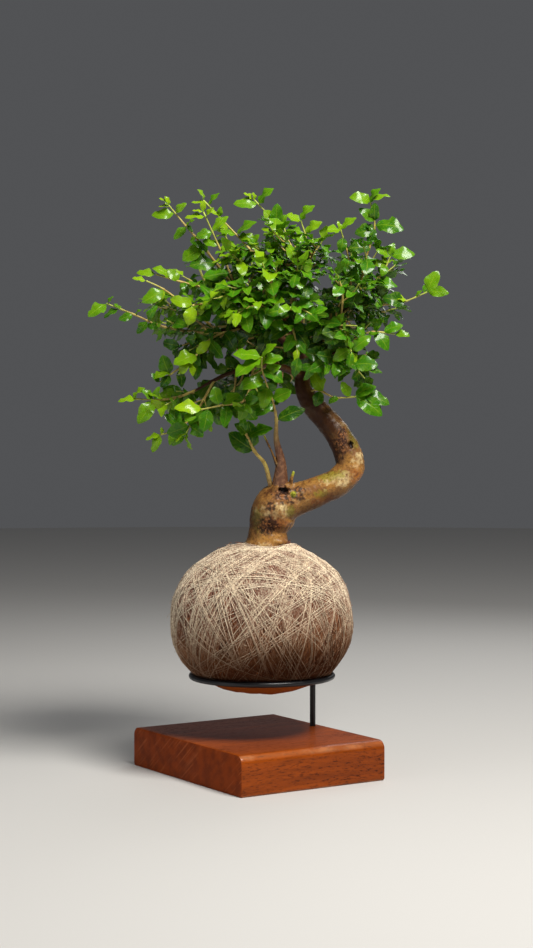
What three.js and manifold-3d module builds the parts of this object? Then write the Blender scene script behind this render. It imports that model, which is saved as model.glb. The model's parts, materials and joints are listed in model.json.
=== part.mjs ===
// A small bonsai growing from a thread-wound moss ball, resting in a ring on a hardwood block.
// Millimetres, +Z up. The origin is the middle of the block's underside, X runs with its grain.
import * as THREE from 'three';
import { mergeVertices } from 'three/addons/utils/BufferGeometryUtils.js';
import Module from 'manifold-3d';

const wasm = await Module();
wasm.setup();

// ---------- driving dimensions ----------
const BLOCK = { grain: 120, across: 150, high: 28.5, topRound: 6, footRound: 2 };
const TURN = 32.8; // degrees that the ring, ball and plant are turned on the block
const AXIS = { x: 3.8, y: -1.9 }; // the ball's and the ring's, in the turned frame
const RING = { z: 71, radius: 50.9, rod: 4 };
const POST = { radius: 52.2, angle: 44, foot: 12, rod: 4.2 }; // where it stands round the ball's axis
const GAP = 0.3; // between pieces that touch
const WOUND = { thread: 1.6, moss: 9 }; // layer thicknesses
const BALL_SIDES = 22;

// The outside of the wound ball: [radius, height], from the bottom to the mouth round the trunk
const BALL_OUTLINE = [
  [0, 57.4], [24, 60], [42, 67], [50.3, 73.5], [58.6, 83], [64.4, 97], [65.8, 113.4],
  [62.8, 131], [54.1, 145.8], [42.1, 155.9], [29, 163], [17, 166.6],
];

// The trunk: [x, y, z, radius], from the root stump in the soil to the top of the leader
const TRUNK = [
  [3, -2, 122, 9], [4.5, -2, 140, 14], [6.5, -2, 156, 18], [8, -2, 168, 15], [8.2, -2, 176, 13.6],
  [11, -2.5, 185, 16.4], [16, -4, 194, 16.6], [30, -5, 199, 11.8], [46, -5, 205.2, 10.6],
  [58.4, -4.5, 210.8, 10.6], [67.2, -3, 221, 10.4], [64.4, -1.5, 234.4, 9.8], [57.2, -0.5, 246.6, 9.2],
  [47.4, 0, 258.4, 8.5], [39.2, -1, 268, 7.9], [33.8, -2, 277, 6.4], [32.8, -1, 286, 5.2],
  [34, 1, 303, 4.2], [30, 3, 326, 3], [24, 4, 350, 1.6],
];
const KNOB = { at: [18, -7, 204.6], size: [9.8, 10.5, 8] }; // swelling of the old cut
const ROOT = { at: [15, -9, 168], size: [7, 7, 4] }; // a root that shows at the ball's mouth
const HOLLOWS = [
  { at: [19.7, -18, 206.5], size: [5, 6, 3] }, // the dark hole in the old cut
  { at: [57, -9.6, 247], size: [4, 2.4, 6] }, // rough scar on the upper bend
  { at: [66.6, -10.4, 237.5], size: [2, 2.4, 4] },
];
// Short leafless twigs on the old cut
const STUBS = [
  { path: [[24.5, -10, 208], [25.6, -13, 213], [27.4, -14, 218.5]], thick: [2, 1] },
  { path: [[14.5, -11, 208], [15.5, -13, 220], [12, -17, 230], [5.3, -21, 244.6]], thick: [1.7, 0.8] },
];

// Limbs inside the crown: points and the radius at both ends
const LIMBS = {
  left: { path: [[34, 0, 298], [14, -8, 316], [-10, -12, 321], [-36, -10, 317]], thick: [3.6, 1.5] },
  upperLeft: { path: [[32, 2, 310], [12, 3, 332], [-12, 0, 344]], thick: [3, 1.4] },
  lowLeft: { path: [[33, -2, 288], [8, -20, 295], [-20, -28, 288], [-44, -28, 276]], thick: [3, 1.3] },
  front: { path: [[34, 0, 300], [28, -22, 314], [18, -46, 328]], thick: [3, 1.3] },
  frontRight: { path: [[34, 0, 305], [46, -18, 318], [60, -36, 326]], thick: [2.6, 1.2] },
  right: { path: [[34, 1, 301], [52, 4, 320], [66, 4, 337], [74, 6, 352]], thick: [3.2, 1.4] },
  lowRight: { path: [[33, -1, 287], [50, -6, 299], [66, -10, 310]], thick: [2.6, 1.2] },
  back: { path: [[34, 1, 302], [30, 26, 318], [20, 52, 332]], thick: [3.2, 1.4] },
  backLeft: { path: [[32, 2, 308], [8, 28, 320], [-22, 48, 326]], thick: [2.8, 1.3] },
  backRight: { path: [[34, 2, 304], [54, 26, 318], [68, 46, 330]], thick: [2.8, 1.3] },
  lowBack: { path: [[33, 0, 290], [14, 28, 292], [-14, 44, 284]], thick: [2.6, 1.2] },
};

// Leafy shoots: the limb that each grows from and how far along it, then points on to its tip, the
// distance between its leaf pairs, the length of its longest leaves and, for a shoot that is bare at
// first, how far along its leaves begin and how thick it starts
const SHOOTS = [
  ['front_sprout', 'knob', 0.5, [[17.4, -14, 226], [14, -22, 242], [14, -32, 256], [12, -41, 267],
    [7, -54, 281], [4, -62, 291], [4, -68, 299]], 14, 19, 0.45, 5.8],
  ['left_sprout', 'knob', 0, [[6, -13.4, 224], [-1, -19.4, 232.8], [-7, -27, 245], [-15, -34, 262]],
    13, 20, 0.55, 1.8],
  ['upper_left_long', 'upperLeft', 0.98, [[-37, -6, 378], [-53, -8, 397], [-63, -10, 409]], 15, 18],
  ['upper_left_twin', 'leader', 0.9, [[4, 0, 368], [-15, 0, 389], [-39, 0, 414]], 15, 17],
  ['upper_left_inner', 'upperLeft', 0.8, [[-13, -10, 348], [-25, -14, 375], [-38, -18, 404]], 15, 17],
  ['top_left', 'leader', 0.99, [[29, 2, 370], [17, 2, 393], [-2, 2, 414]], 15, 18],
  ['top_middle', 'leader', 0.94, [[38, 7, 362], [36, 6, 385], [32, 6, 399]], 15, 17],
  ['top_right', 'right', 0.98, [[78, 8, 369], [85, 6, 394], [82, 4, 412]], 15, 18],
  ['right_pair', 'right', 0.84, [[82, 2, 353], [91, 0, 362], [96, -1, 373]], 15, 18],
  ['right_arm', 'right', 0.6, [[74, -4, 337], [90, -5, 338], [105, -6, 340], [122, -7, 347]], 16, 18],
  ['right_row', 'lowRight', 0.96, [[80, -12, 318], [99, -10, 317]], 13, 18],
  ['right_star', 'frontRight', 0.9, [[64, -42, 314], [66, -50, 303]], 11, 17],
  ['right_low', 'lowRight', 0.75, [[64, -18, 298], [76, -24, 290]], 12, 18],
  ['fork', 'trunk', 0.775, [[44, -9, 277], [57, -11, 271.5], [78, -11, 273]], 14, 18],
  ['left_arm', 'left', 0.98, [[-66, -10, 322], [-88, -12, 331], [-108, -12, 339]], 15, 17],
  ['left_middle', 'upperLeft', 0.9, [[-26, -10, 347], [-59, -20, 355], [-84, -24, 363]], 15, 17],
  ['left_low', 'left', 0.88, [[-50, -24, 336], [-66, -30, 348], [-84, -34, 356]], 15, 18],
  ['left_bright', 'left', 0.6, [[-24, -32, 334], [-42, -46, 336], [-56, -52, 326]], 15, 19],
  ['low_left_tail', 'lowLeft', 0.98, [[-58, -28, 271], [-73, -26, 270], [-94, -24, 271]], 14, 18],
  ['low_left_hang', 'lowLeft', 0.8, [[-42, -34, 262], [-56, -34, 249], [-74, -34, 244]], 14, 18],
  ['left_side', 'left', 0.8, [[-40, -18, 302], [-58, -22, 290], [-70, -24, 281]], 13, 18],
  ['left_front', 'left', 0.68, [[-30, -32, 314], [-42, -42, 301], [-54, -46, 288]], 13, 18],
  ['low_middle', 'lowLeft', 0.45, [[-8, -40, 270], [-24, -48, 266], [-48, -52, 261]], 13, 18],
  ['centre_hang', 'front', 0.78, [[26, -50, 317], [29, -57, 300]], 11, 17],
  ['centre_right', 'frontRight', 0.7, [[52, -42, 322], [70, -50, 321]], 13, 18],
  ['centre_face', 'front', 0.98, [[28, -62, 333], [38, -70, 328]], 11, 19],
  ['centre_left', 'front', 0.9, [[4, -60, 334], [-14, -66, 331]], 12, 19],
  ['centre_far_left', 'front', 0.62, [[2, -46, 342], [-24, -60, 344]], 14, 18],
  ['crown_left', 'leader', 0.84, [[12, -20, 366], [-2, -36, 378]], 13, 17],
  ['crown_middle', 'leader', 0.88, [[22, -18, 370], [20, -36, 385]], 12, 17],
  ['crown_right', 'leader', 0.8, [[38, -20, 368], [44, -34, 381]], 12, 17],
  ['crown_low_right', 'frontRight', 0.97, [[60, -46, 344], [56, -50, 357]], 12, 17],
  ['crown_low_left', 'front', 0.94, [[10, -58, 350], [4, -64, 364]], 12, 17],
  ['crown_low_middle', 'front', 0.86, [[27, -54, 348], [32, -62, 362]], 12, 17],
  ['crown_far_left', 'upperLeft', 0.55, [[-6, -26, 360], [-16, -42, 371]], 13, 17],
  ['right_top_inner', 'right', 0.76, [[66, -6, 370], [60, -12, 391]], 14, 18],
  ['right_face', 'right', 0.9, [[78, -12, 366], [76, -24, 378]], 13, 19],
  ['right_middle', 'right', 0.68, [[72, -20, 346], [80, -34, 350]], 13, 19],
  ['low_right_front', 'lowRight', 0.5, [[50, -28, 303], [48, -42, 296]], 12, 18],
  ['back_top', 'back', 0.98, [[12, 62, 358], [2, 70, 384]], 14, 18],
  ['back_middle', 'back', 0.9, [[22, 72, 336], [18, 90, 336]], 13, 18],
  ['back_low', 'back', 0.7, [[20, 58, 306], [16, 76, 292]], 13, 18],
  ['back_left_top', 'backLeft', 0.98, [[-34, 58, 346], [-44, 60, 372]], 14, 18],
  ['back_left_middle', 'backLeft', 0.92, [[-46, 54, 324], [-72, 56, 328]], 14, 18],
  ['back_left_low', 'lowBack', 0.7, [[-12, 56, 270], [-30, 64, 260]], 13, 18],
  ['back_right_top', 'backRight', 0.98, [[72, 54, 354], [70, 54, 381]], 14, 18],
  ['back_right_middle', 'backRight', 0.92, [[84, 48, 334], [104, 44, 338]], 14, 18],
  ['back_right_low', 'backRight', 0.75, [[66, 52, 304], [76, 58, 290]], 13, 18],
  ['back_crown', 'leader', 0.82, [[26, 30, 372], [20, 42, 398]], 14, 17],
  ['back_crown_left', 'upperLeft', 0.7, [[-10, 26, 366], [-24, 34, 392]], 14, 17],
  ['back_tail', 'lowBack', 0.97, [[-36, 46, 278], [-60, 42, 272]], 14, 18],
  ['side_left', 'left', 0.92, [[-48, 14, 330], [-78, 24, 343]], 15, 18],
  ['side_right', 'right', 0.78, [[86, 22, 356], [102, 28, 369]], 15, 18],
];
const CROWN_MIDDLE = new THREE.Vector3(5, 0, 325);
const TWIG = { foot: 1.15, tip: 0.65, stoutFoot: 2 }; // a foot over stoutFoot narrows quickly

// Leaf pairs. Angles are in radians, and a range runs from its first number to its second.
const PAIR = { crossed: 1.4, roll: 0.9, spread: [0.95, 1.3], droop: [0.1, 0.5], size: [0.86, 1.14] };
const LAST_PAIR = { share: 0.97, spread: 0.55, size: 0.75 };
const FACING = { any: 0.8, up: 0.7, outward: 0.6 }; // what turns a leaf's upper side
// One leaf's shape. The numbers in shares are parts of its length.
const LEAF = { thick: 0.4, fold: 0.4, clear: 0.45, stalk: 2.2, stalkHalf: 0.6, node: 0.8 };
const LEAF_SHARES = { halfWidth: 0.25, widest: 0.32, middle: 0.4, upper: 0.68, bend: 0.16 };
const UPPER_WIDTH = 0.8; // of the widest

// ---------- materials ----------
const steel = new THREE.MeshStandardMaterial({ color: 0x15161a, roughness: 0.38, metalness: 0.6 });
const hardwood = new THREE.MeshStandardMaterial({ color: 0x7c3c26, roughness: 0.45 });
const thread = new THREE.MeshStandardMaterial({ color: 0xcbb894, roughness: 0.85 });
const moss = new THREE.MeshStandardMaterial({ color: 0x6e4a3c, roughness: 1 });
const soil = new THREE.MeshStandardMaterial({ color: 0x3a2a20, roughness: 1 });
const bark = new THREE.MeshStandardMaterial({ color: 0x9a8450, roughness: 0.6 });
const leafGreen = new THREE.MeshStandardMaterial({ color: 0x4f8a22, roughness: 0.4 });

// ---------- solids ----------
function toSolid(geometry) {
  const bare = geometry.index ? geometry.toNonIndexed() : geometry.clone();
  bare.deleteAttribute('normal');
  bare.deleteAttribute('uv');
  const merged = mergeVertices(bare, 1e-4);
  return new wasm.Manifold(new wasm.Mesh({
    numProp: 3,
    vertProperties: new Float32Array(merged.attributes.position.array),
    triVerts: new Uint32Array(merged.index.array),
  }));
}

function toGeometry(solid) {
  const mesh = solid.getMesh();
  const geometry = new THREE.BufferGeometry();
  geometry.setAttribute('position', new THREE.BufferAttribute(mesh.vertProperties.slice(), 3));
  geometry.setIndex(new THREE.BufferAttribute(mesh.triVerts.slice(), 1));
  geometry.computeVertexNormals();
  return geometry;
}

function namedMesh(name, geometry, material) {
  const mesh = new THREE.Mesh(geometry, material);
  mesh.name = name;
  return mesh;
}

const vector = (p) => new THREE.Vector3(p[0], p[1], p[2]);
const curveThrough = (points) => new THREE.CatmullRomCurve3(points.map(vector), false, 'catmullrom');

// A capped cylinder with its rings moved onto the curve. thickAt gives the radius from 0 to 1.
function taperedTube(curve, thickAt, sides, steps) {
  const geometry = new THREE.CylinderGeometry(1, 1, 1, sides, steps);
  const frames = curve.computeFrenetFrames(steps, false);
  const position = geometry.attributes.position;
  const place = new THREE.Vector3();
  for (let i = 0; i < position.count; i += 1) {
    const ring = Math.round((position.getY(i) + 0.5) * steps);
    const thick = thickAt(ring / steps);
    curve.getPointAt(ring / steps, place);
    place.addScaledVector(frames.binormals[ring], position.getX(i) * thick);
    place.addScaledVector(frames.normals[ring], position.getZ(i) * thick);
    position.setXYZ(i, place.x, place.y, place.z);
  }
  return toSolid(geometry);
}

function ellipsoid({ at, size }, grow = 0) {
  const ball = new THREE.SphereGeometry(1, 10, 6);
  ball.scale(size[0] + grow, size[1] + grow, size[2] + grow);
  ball.translate(at[0], at[1], at[2]);
  return toSolid(ball);
}

// ---------- block and stand ----------
function blockSolid() {
  const { grain, across, high, topRound, footRound } = BLOCK;
  const side = across / 2;
  const outline = new THREE.Shape();
  outline.moveTo(-side + footRound, 0);
  outline.lineTo(side - footRound, 0);
  outline.absarc(side - footRound, footRound, footRound, -Math.PI / 2, 0);
  outline.absarc(side - topRound, high - topRound, topRound, 0, Math.PI / 2);
  outline.absarc(topRound - side, high - topRound, topRound, Math.PI / 2, Math.PI);
  outline.absarc(footRound - side, footRound, footRound, Math.PI, 1.5 * Math.PI);
  const run = new THREE.ExtrudeGeometry(outline, { depth: grain, bevelEnabled: false, curveSegments: 5 });
  run.rotateX(Math.PI / 2);
  run.rotateZ(Math.PI / 2);
  run.translate(-grain / 2, 0, 0);
  return toSolid(run);
}

function postPlace() {
  const angle = THREE.MathUtils.degToRad(POST.angle);
  return [AXIS.x + POST.radius * Math.cos(angle), AXIS.y + POST.radius * Math.sin(angle)];
}

function uprightRod(radius, low, high) {
  const rod = new THREE.CylinderGeometry(radius, radius, high - low, 16);
  rod.rotateX(Math.PI / 2);
  const [x, y] = postPlace();
  rod.translate(x, y, (low + high) / 2);
  return rod;
}

function ringGeometry() {
  const ring = new THREE.TorusGeometry(RING.radius, RING.rod / 2, 8, 32);
  ring.translate(AXIS.x, AXIS.y, RING.z);
  return ring;
}

// ---------- ball ----------
function ballLathe(points) {
  const lathe = new THREE.LatheGeometry(points.map(([r, z]) => new THREE.Vector2(r, z)), BALL_SIDES);
  lathe.rotateX(Math.PI / 2);
  lathe.translate(AXIS.x, AXIS.y, 0);
  return toSolid(lathe);
}

// The ball's outline moved inwards by depth, still ending on the axis at its lowest point
function insetOutline(depth) {
  const middle = (BALL_OUTLINE[0][1] + BALL_OUTLINE.at(-1)[1]) / 2;
  return BALL_OUTLINE.map(([r, z]) => {
    const reach = Math.hypot(r, z - middle);
    const share = (reach - depth) / reach;
    return [r * share, middle + (z - middle) * share];
  });
}

function ballShell(outerDepth, innerDepth) {
  return ballLathe([...insetOutline(outerDepth), ...insetOutline(innerDepth).reverse()]);
}

function soilSolid(depth) {
  const outline = insetOutline(depth);
  return ballLathe([...outline, [0, outline.at(-1)[1]]]);
}

// ---------- trunk ----------
const trunkCurve = curveThrough(TRUNK);
const knobCurve = curveThrough([[10, -8.4, 208.4], [17, -9, 209], [23, -9, 209]]);
const limbCurves = { trunk: trunkCurve, leader: curveThrough(TRUNK.slice(-5)), knob: knobCurve };
for (const [name, limb] of Object.entries(LIMBS)) {
  limbCurves[name] = curveThrough(limb.path);
}

// The trunk's radius where its curve has gone the given share of its length
function trunkThickness(share) {
  const along = trunkCurve.getUtoTmapping(share) * (TRUNK.length - 1);
  const lower = Math.min(Math.floor(along), TRUNK.length - 2);
  return THREE.MathUtils.lerp(TRUNK[lower][3], TRUNK[lower + 1][3], along - lower);
}

function trunkSolid(grow) {
  let solid = taperedTube(trunkCurve, (share) => trunkThickness(share) + grow, 10, 26);
  solid = solid.add(ellipsoid(KNOB, grow)).add(ellipsoid(ROOT, grow));
  const swell = ([foot, tip]) => (share) => THREE.MathUtils.lerp(foot, tip, share) + grow;
  for (const limb of [...STUBS, ...Object.values(LIMBS)]) {
    solid = solid.add(taperedTube(curveThrough(limb.path), swell(limb.thick), 5, 4));
  }
  for (const hole of HOLLOWS) {
    solid = solid.subtract(ellipsoid(hole, -grow));
  }
  return solid;
}

// ---------- shoots and leaves ----------
// A fixed number from 0 to 1 for each pair of whole numbers
function chance(a, b) {
  const wave = Math.sin(a * 12.9898 + b * 78.233) * 43758.5453;
  return wave - Math.floor(wave);
}

const within = ([low, high], share) => THREE.MathUtils.lerp(low, high, share);

// How a leaf lies where it leaves its stem. Roll is the way round the stem, spread the angle from it.
function leafFrame({ at, along, roll, spread, droop, seed }) {
  const up = new THREE.Vector3(0, 0, 1);
  const side = new THREE.Vector3().crossVectors(along, up).normalize();
  const lift = new THREE.Vector3().crossVectors(side, along);
  const out = side.multiplyScalar(Math.cos(roll)).addScaledVector(lift, Math.sin(roll));
  const axis = along.clone().multiplyScalar(Math.cos(spread)).addScaledVector(out, Math.sin(spread));
  axis.z -= droop;
  axis.normalize();
  const outward = at.clone().sub(CROWN_MIDDLE).normalize();
  const face = new THREE.Vector3(chance(seed, 5) - 0.5, chance(seed, 6) - 0.5, chance(seed, 7) - 0.5);
  face.multiplyScalar(FACING.any).addScaledVector(up, FACING.up).addScaledVector(outward, FACING.outward);
  face.addScaledVector(axis, -face.dot(axis)).normalize();
  return { at, axis, face, across: new THREE.Vector3().crossVectors(face, axis) };
}

// Leaf pairs up one stem, in the order of growth, with the last pair at its tip
function leafPlaces(stem, gap, longest, bare, seed) {
  const pairs = Math.max(2, Math.round((stem.getLength() * (1 - bare)) / gap));
  const places = [];
  for (let k = 1; k <= pairs; k += 1) {
    const last = k === pairs;
    const share = last ? LAST_PAIR.share : bare + ((1 - bare) * k) / pairs;
    const along = stem.getTangent(share);
    const turn = k % 2 ? 0 : PAIR.crossed * Math.abs(along.z);
    const pair = [0, 1].map((half) => {
      const mark = seed * 40 + k * 2 + half;
      return {
        at: stem.getPoint(share),
        along,
        roll: turn + half * Math.PI + PAIR.roll * (chance(mark, 1) - 0.5),
        spread: last ? LAST_PAIR.spread : within(PAIR.spread, chance(mark, 2)),
        droop: last ? 0 : within(PAIR.droop, chance(mark, 3)),
        length: longest * (last ? LAST_PAIR.size : 1) * within(PAIR.size, chance(mark, 4)),
        seed: mark,
      };
    });
    places.push({ share, pair });
  }
  return places;
}

// A pointed oval blade, thick along its middle: four points round its widest part, two further up
// and the tip. They go round the leaf's axis by the right hand. Grow makes it larger all round.
function leafPoints(frame, length, grow) {
  const spot = (reach, aside, rise) => frame.at.clone().addScaledVector(frame.axis, reach)
    .addScaledVector(frame.across, aside).addScaledVector(frame.face, rise);
  const wide = LEAF_SHARES.halfWidth * length + grow;
  const thick = LEAF.thick + grow;
  const [widest, middle, upper] = [LEAF_SHARES.widest, LEAF_SHARES.middle, LEAF_SHARES.upper]
    .map((share) => share * length);
  return {
    widest: [
      spot(widest, wide, LEAF.fold), spot(middle, 0, thick),
      spot(widest, -wide, LEAF.fold), spot(middle, 0, -thick),
    ],
    upper: [spot(upper, UPPER_WIDTH * wide, -LEAF.fold), spot(upper, -UPPER_WIDTH * wide, -LEAF.fold)],
    tip: spot(length + grow, 0, -LEAF_SHARES.bend * length),
  };
}

// Adds one leaf to a mesh that already holds the corners of its foot
function addLeaf(mesh, corners, { widest, upper, tip }) {
  const cost = [0, 1, 2, 3].map((turn) => corners.reduce(
    (sum, corner, i) => sum + mesh.points[corner].distanceTo(widest[(i + turn) % 4]), 0));
  const turn = cost.indexOf(Math.min(...cost));
  const ring = widest.map((point) => mesh.points.push(point) - 1);
  const [left, right, end] = [...upper, tip].map((point) => mesh.points.push(point) - 1);
  for (let i = 0; i < 4; i += 1) {
    const next = (i + 1) % 4;
    const [near, far] = [ring[(i + turn) % 4], ring[(next + turn) % 4]];
    mesh.faces.push(corners[i], corners[next], far, corners[i], far, near);
  }
  const [a, top, b, keel] = ring;
  mesh.faces.push(a, top, left, top, end, left, top, right, end, top, b, right);
  mesh.faces.push(a, left, keel, left, end, keel, end, right, keel, right, b, keel);
}

const meshSolid = ({ points, faces }) => {
  const geometry = new THREE.BufferGeometry().setFromPoints(points);
  geometry.setIndex(faces);
  return toSolid(geometry);
};

// The leaf alone, a little larger than it is and clear of its stem, to test what it would meet
function leafRoom(frame, length) {
  const start = [[1, 1], [1, -1], [-1, -1], [-1, 1]].map(([y, z]) => frame.at.clone()
    .addScaledVector(frame.axis, LEAF.stalk).addScaledVector(frame.across, -y * LEAF.stalkHalf)
    .addScaledVector(frame.face, z * LEAF.stalkHalf));
  const mesh = { points: start, faces: [0, 3, 2, 0, 2, 1] };
  addLeaf(mesh, [0, 1, 2, 3], leafPoints(frame, length, LEAF.clear));
  return meshSolid(mesh);
}

const TURNS = [0, 0.45, -0.45, 0.9, -0.9, 1.4, -1.4]; // tried in order until a leaf hangs clear
const obstacle = (owner, solid) => ({ owner, solid, box: solid.boundingBox() });

function clearOf({ solid, box }, others) {
  return others.every((other) => {
    const apart = [0, 1, 2].some((k) => box.max[k] < other.box.min[k] || box.min[k] > other.box.max[k]);
    return apart || solid.intersect(other.solid).isEmpty();
  });
}

// Where the leaf can hang without cutting what is there already, or nothing
function freeFrame(owner, place, others) {
  for (const turn of TURNS) {
    const frame = leafFrame({ ...place, roll: place.roll + turn });
    const room = obstacle(owner, leafRoom(frame, place.length));
    if (clearOf(room, others)) {
      return { frame, room };
    }
  }
  return null;
}

function shootStem([name, limb, share, path, gap, longest, bare = 0, foot = TWIG.foot], index) {
  const start = limbCurves[limb].getPoint(share);
  const curve = new THREE.CatmullRomCurve3([start, ...path.map(vector)], false, 'catmullrom');
  const power = foot > TWIG.stoutFoot ? 3 : 1;
  const thick = (along) => TWIG.tip + (foot - TWIG.tip) * (1 - along) ** power;
  const room = taperedTube(curve, (along) => thick(curve.getUtoTmapping(along)) + GAP, 5, 10);
  return { name, index, curve, thick, bare, room, places: leafPlaces(curve, gap, longest, bare, index) };
}

// The stem's cross sections. One with a pair ends the short stretch that its two leaves grow from.
function stemRings({ curve, bare, places }) {
  const nodeHalf = LEAF.node / curve.getLength();
  const rings = [{ share: 0 }];
  for (let share = 0.1; share < bare; share += 0.1) {
    rings.push({ share });
  }
  for (const { share, pair } of places) {
    rings.push({ share: share - nodeHalf }, { share: share + nodeHalf, pair });
  }
  return rings;
}

// A square-sectioned stem whose sides open into the leaves, all one mesh
function leafyShoot(stem, obstacles) {
  const { index, curve, thick } = stem;
  const rings = stemRings(stem);
  const mesh = { points: [], faces: [] };
  const normal = new THREE.Vector3().crossVectors(curve.getTangent(0), new THREE.Vector3(0.3, 1, 0.2));
  rings.forEach(({ share }) => {
    const along = curve.getTangent(share);
    normal.addScaledVector(along, -normal.dot(along)).normalize();
    const other = new THREE.Vector3().crossVectors(along, normal);
    for (let corner = 0; corner < 4; corner += 1) {
      const angle = (corner * Math.PI) / 2;
      const point = curve.getPoint(share).addScaledVector(normal, Math.cos(angle) * thick(share));
      mesh.points.push(point.addScaledVector(other, Math.sin(angle) * thick(share)));
    }
  });
  mesh.faces.push(0, 3, 2, 0, 2, 1);
  for (let step = 1; step < rings.length; step += 1) {
    const quads = [0, 1, 2, 3].map((corner) => {
      const [first, second] = [(step - 1) * 4 + corner, (step - 1) * 4 + ((corner + 1) % 4)];
      return [first, second, second + 4, first + 4];
    });
    for (const place of rings[step].pair ?? []) {
      const others = obstacles.filter((item) => item.owner !== index || item.leaf);
      const found = freeFrame(index, place, others);
      if (found) {
        const facing = (quad) => quad.reduce((sum, i) => sum.add(mesh.points[i]), new THREE.Vector3())
          .addScaledVector(place.at, -4).dot(found.frame.axis);
        const quad = quads.reduce((best, item) => (facing(item) > facing(best) ? item : best));
        quads.splice(quads.indexOf(quad), 1);
        addLeaf(mesh, quad, leafPoints(found.frame, place.length, 0));
        obstacles.push({ ...found.room, leaf: true });
      }
    }
    quads.forEach(([a, b, c, d]) => mesh.faces.push(a, b, c, a, c, d));
  }
  const end = (rings.length - 1) * 4;
  mesh.faces.push(end, end + 1, end + 2, end, end + 2, end + 3);
  return meshSolid(mesh);
}

// ---------- the whole object ----------
const group = new THREE.Group();
group.name = 'bonsai_ball';
const turned = new THREE.Group();
turned.rotation.z = -THREE.MathUtils.degToRad(TURN);
group.add(turned);

const boreTurned = uprightRod(POST.rod / 2 + GAP, POST.foot, BLOCK.high + 5);
boreTurned.rotateZ(-THREE.MathUtils.degToRad(TURN));
group.add(namedMesh('base_block', toGeometry(blockSolid().subtract(toSolid(boreTurned))), hardwood));

const postTop = RING.z - RING.rod / 2 - GAP;
turned.add(namedMesh('stand_rod', uprightRod(POST.rod / 2, POST.foot + GAP, postTop), steel));
turned.add(namedMesh('support_ring', ringGeometry(), steel));

const trunk = trunkSolid(0);
const trunkRoom = trunkSolid(GAP);
const winding = ballShell(0, WOUND.thread).subtract(trunkRoom);
const mossWrap = ballShell(WOUND.thread + GAP, WOUND.thread + WOUND.moss).subtract(trunkRoom);
const soilBall = soilSolid(WOUND.thread + WOUND.moss + GAP).subtract(trunkRoom);
turned.add(namedMesh('thread_winding', toGeometry(winding), thread));
turned.add(namedMesh('moss_wrap', toGeometry(mossWrap), moss));
turned.add(namedMesh('soil_ball', toGeometry(soilBall), soil));
turned.add(namedMesh('trunk', toGeometry(trunk), bark));

const stems = SHOOTS.map(shootStem);
const obstacles = stems.map((stem) => obstacle(stem.index, stem.room));
obstacles.push(obstacle('trunk', trunkSolid(2 * GAP)));
for (const stem of stems) {
  const shoot = leafyShoot(stem, obstacles).subtract(trunkRoom);
  turned.add(namedMesh(`shoot_${stem.name}`, toGeometry(shoot), leafGreen));
}

export default group;
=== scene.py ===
"""A small bonsai growing from a thread-wound moss ball, held in a ring above a hardwood block.

Blender lengths are in metres. The plant, ball and stand are planned in millimetres in the plant's own
frame, which is turned on the block: X to the viewer's right, Y away from the viewer, Z up.
"""
import json
import math

import bmesh
import bpy
import numpy as np
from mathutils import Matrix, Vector, noise

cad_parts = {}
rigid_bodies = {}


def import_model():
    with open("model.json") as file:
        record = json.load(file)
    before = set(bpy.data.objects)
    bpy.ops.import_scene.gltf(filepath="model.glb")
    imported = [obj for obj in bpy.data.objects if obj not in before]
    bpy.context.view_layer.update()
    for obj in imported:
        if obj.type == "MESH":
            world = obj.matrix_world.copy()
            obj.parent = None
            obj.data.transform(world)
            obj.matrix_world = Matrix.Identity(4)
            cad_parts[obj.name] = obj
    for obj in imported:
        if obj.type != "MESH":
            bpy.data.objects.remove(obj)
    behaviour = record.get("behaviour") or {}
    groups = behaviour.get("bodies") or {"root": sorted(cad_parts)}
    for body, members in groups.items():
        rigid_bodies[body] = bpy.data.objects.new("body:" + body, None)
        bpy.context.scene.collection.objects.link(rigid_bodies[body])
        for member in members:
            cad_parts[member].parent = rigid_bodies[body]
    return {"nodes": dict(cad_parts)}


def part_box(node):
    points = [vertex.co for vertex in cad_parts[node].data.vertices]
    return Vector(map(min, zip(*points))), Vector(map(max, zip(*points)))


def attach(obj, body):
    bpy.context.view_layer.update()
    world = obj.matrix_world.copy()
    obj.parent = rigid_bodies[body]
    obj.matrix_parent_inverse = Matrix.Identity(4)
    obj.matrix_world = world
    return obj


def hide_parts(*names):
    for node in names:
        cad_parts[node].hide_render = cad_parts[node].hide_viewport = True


bl_info = {
    "name": "Kokedama bonsai",
    "version": (1, 0, 0),
    "blender": (4, 5, 0),
    "location": "3D View > Sidebar > Kokedama",
    "description": "Builds a bonsai in a thread-wound moss ball on a ring stand",
    "category": "Add Mesh",
}

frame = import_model()

MM = 0.001
TURN = math.radians(32.8)  # how far the plant, ball and stand are turned on the block

# ---------- the plan, in millimetres in the plant's frame ----------
BALL_AXIS = (3.8, -1.9)
BALL_MIDDLE = 112.0
# The outside of the wound ball: radius and height, from the bottom to the mouth round the trunk
BALL_OUTLINE = [
    (0, 57.4), (24, 60), (42, 67), (50.3, 73.5), (58.6, 83), (64.4, 97), (65.8, 113.4),
    (62.8, 131), (54.1, 145.8), (42.1, 155.9), (29, 163), (17, 166.6), (6, 168),
]
# Where threads pile up beside the trunk: middle, height and breadth
MOUND, MOUND_RISE, MOUND_BREADTH = (20, -6, 164.5), 3.0, 7
TRUNK_FOOT = (8, -2, 168)  # the middle of the ball's mouth
RING_HEIGHT, RING_RADIUS = 71.0, 50.9
POST_RADIUS, POST_ANGLE = 52.2, math.radians(44)

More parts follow.
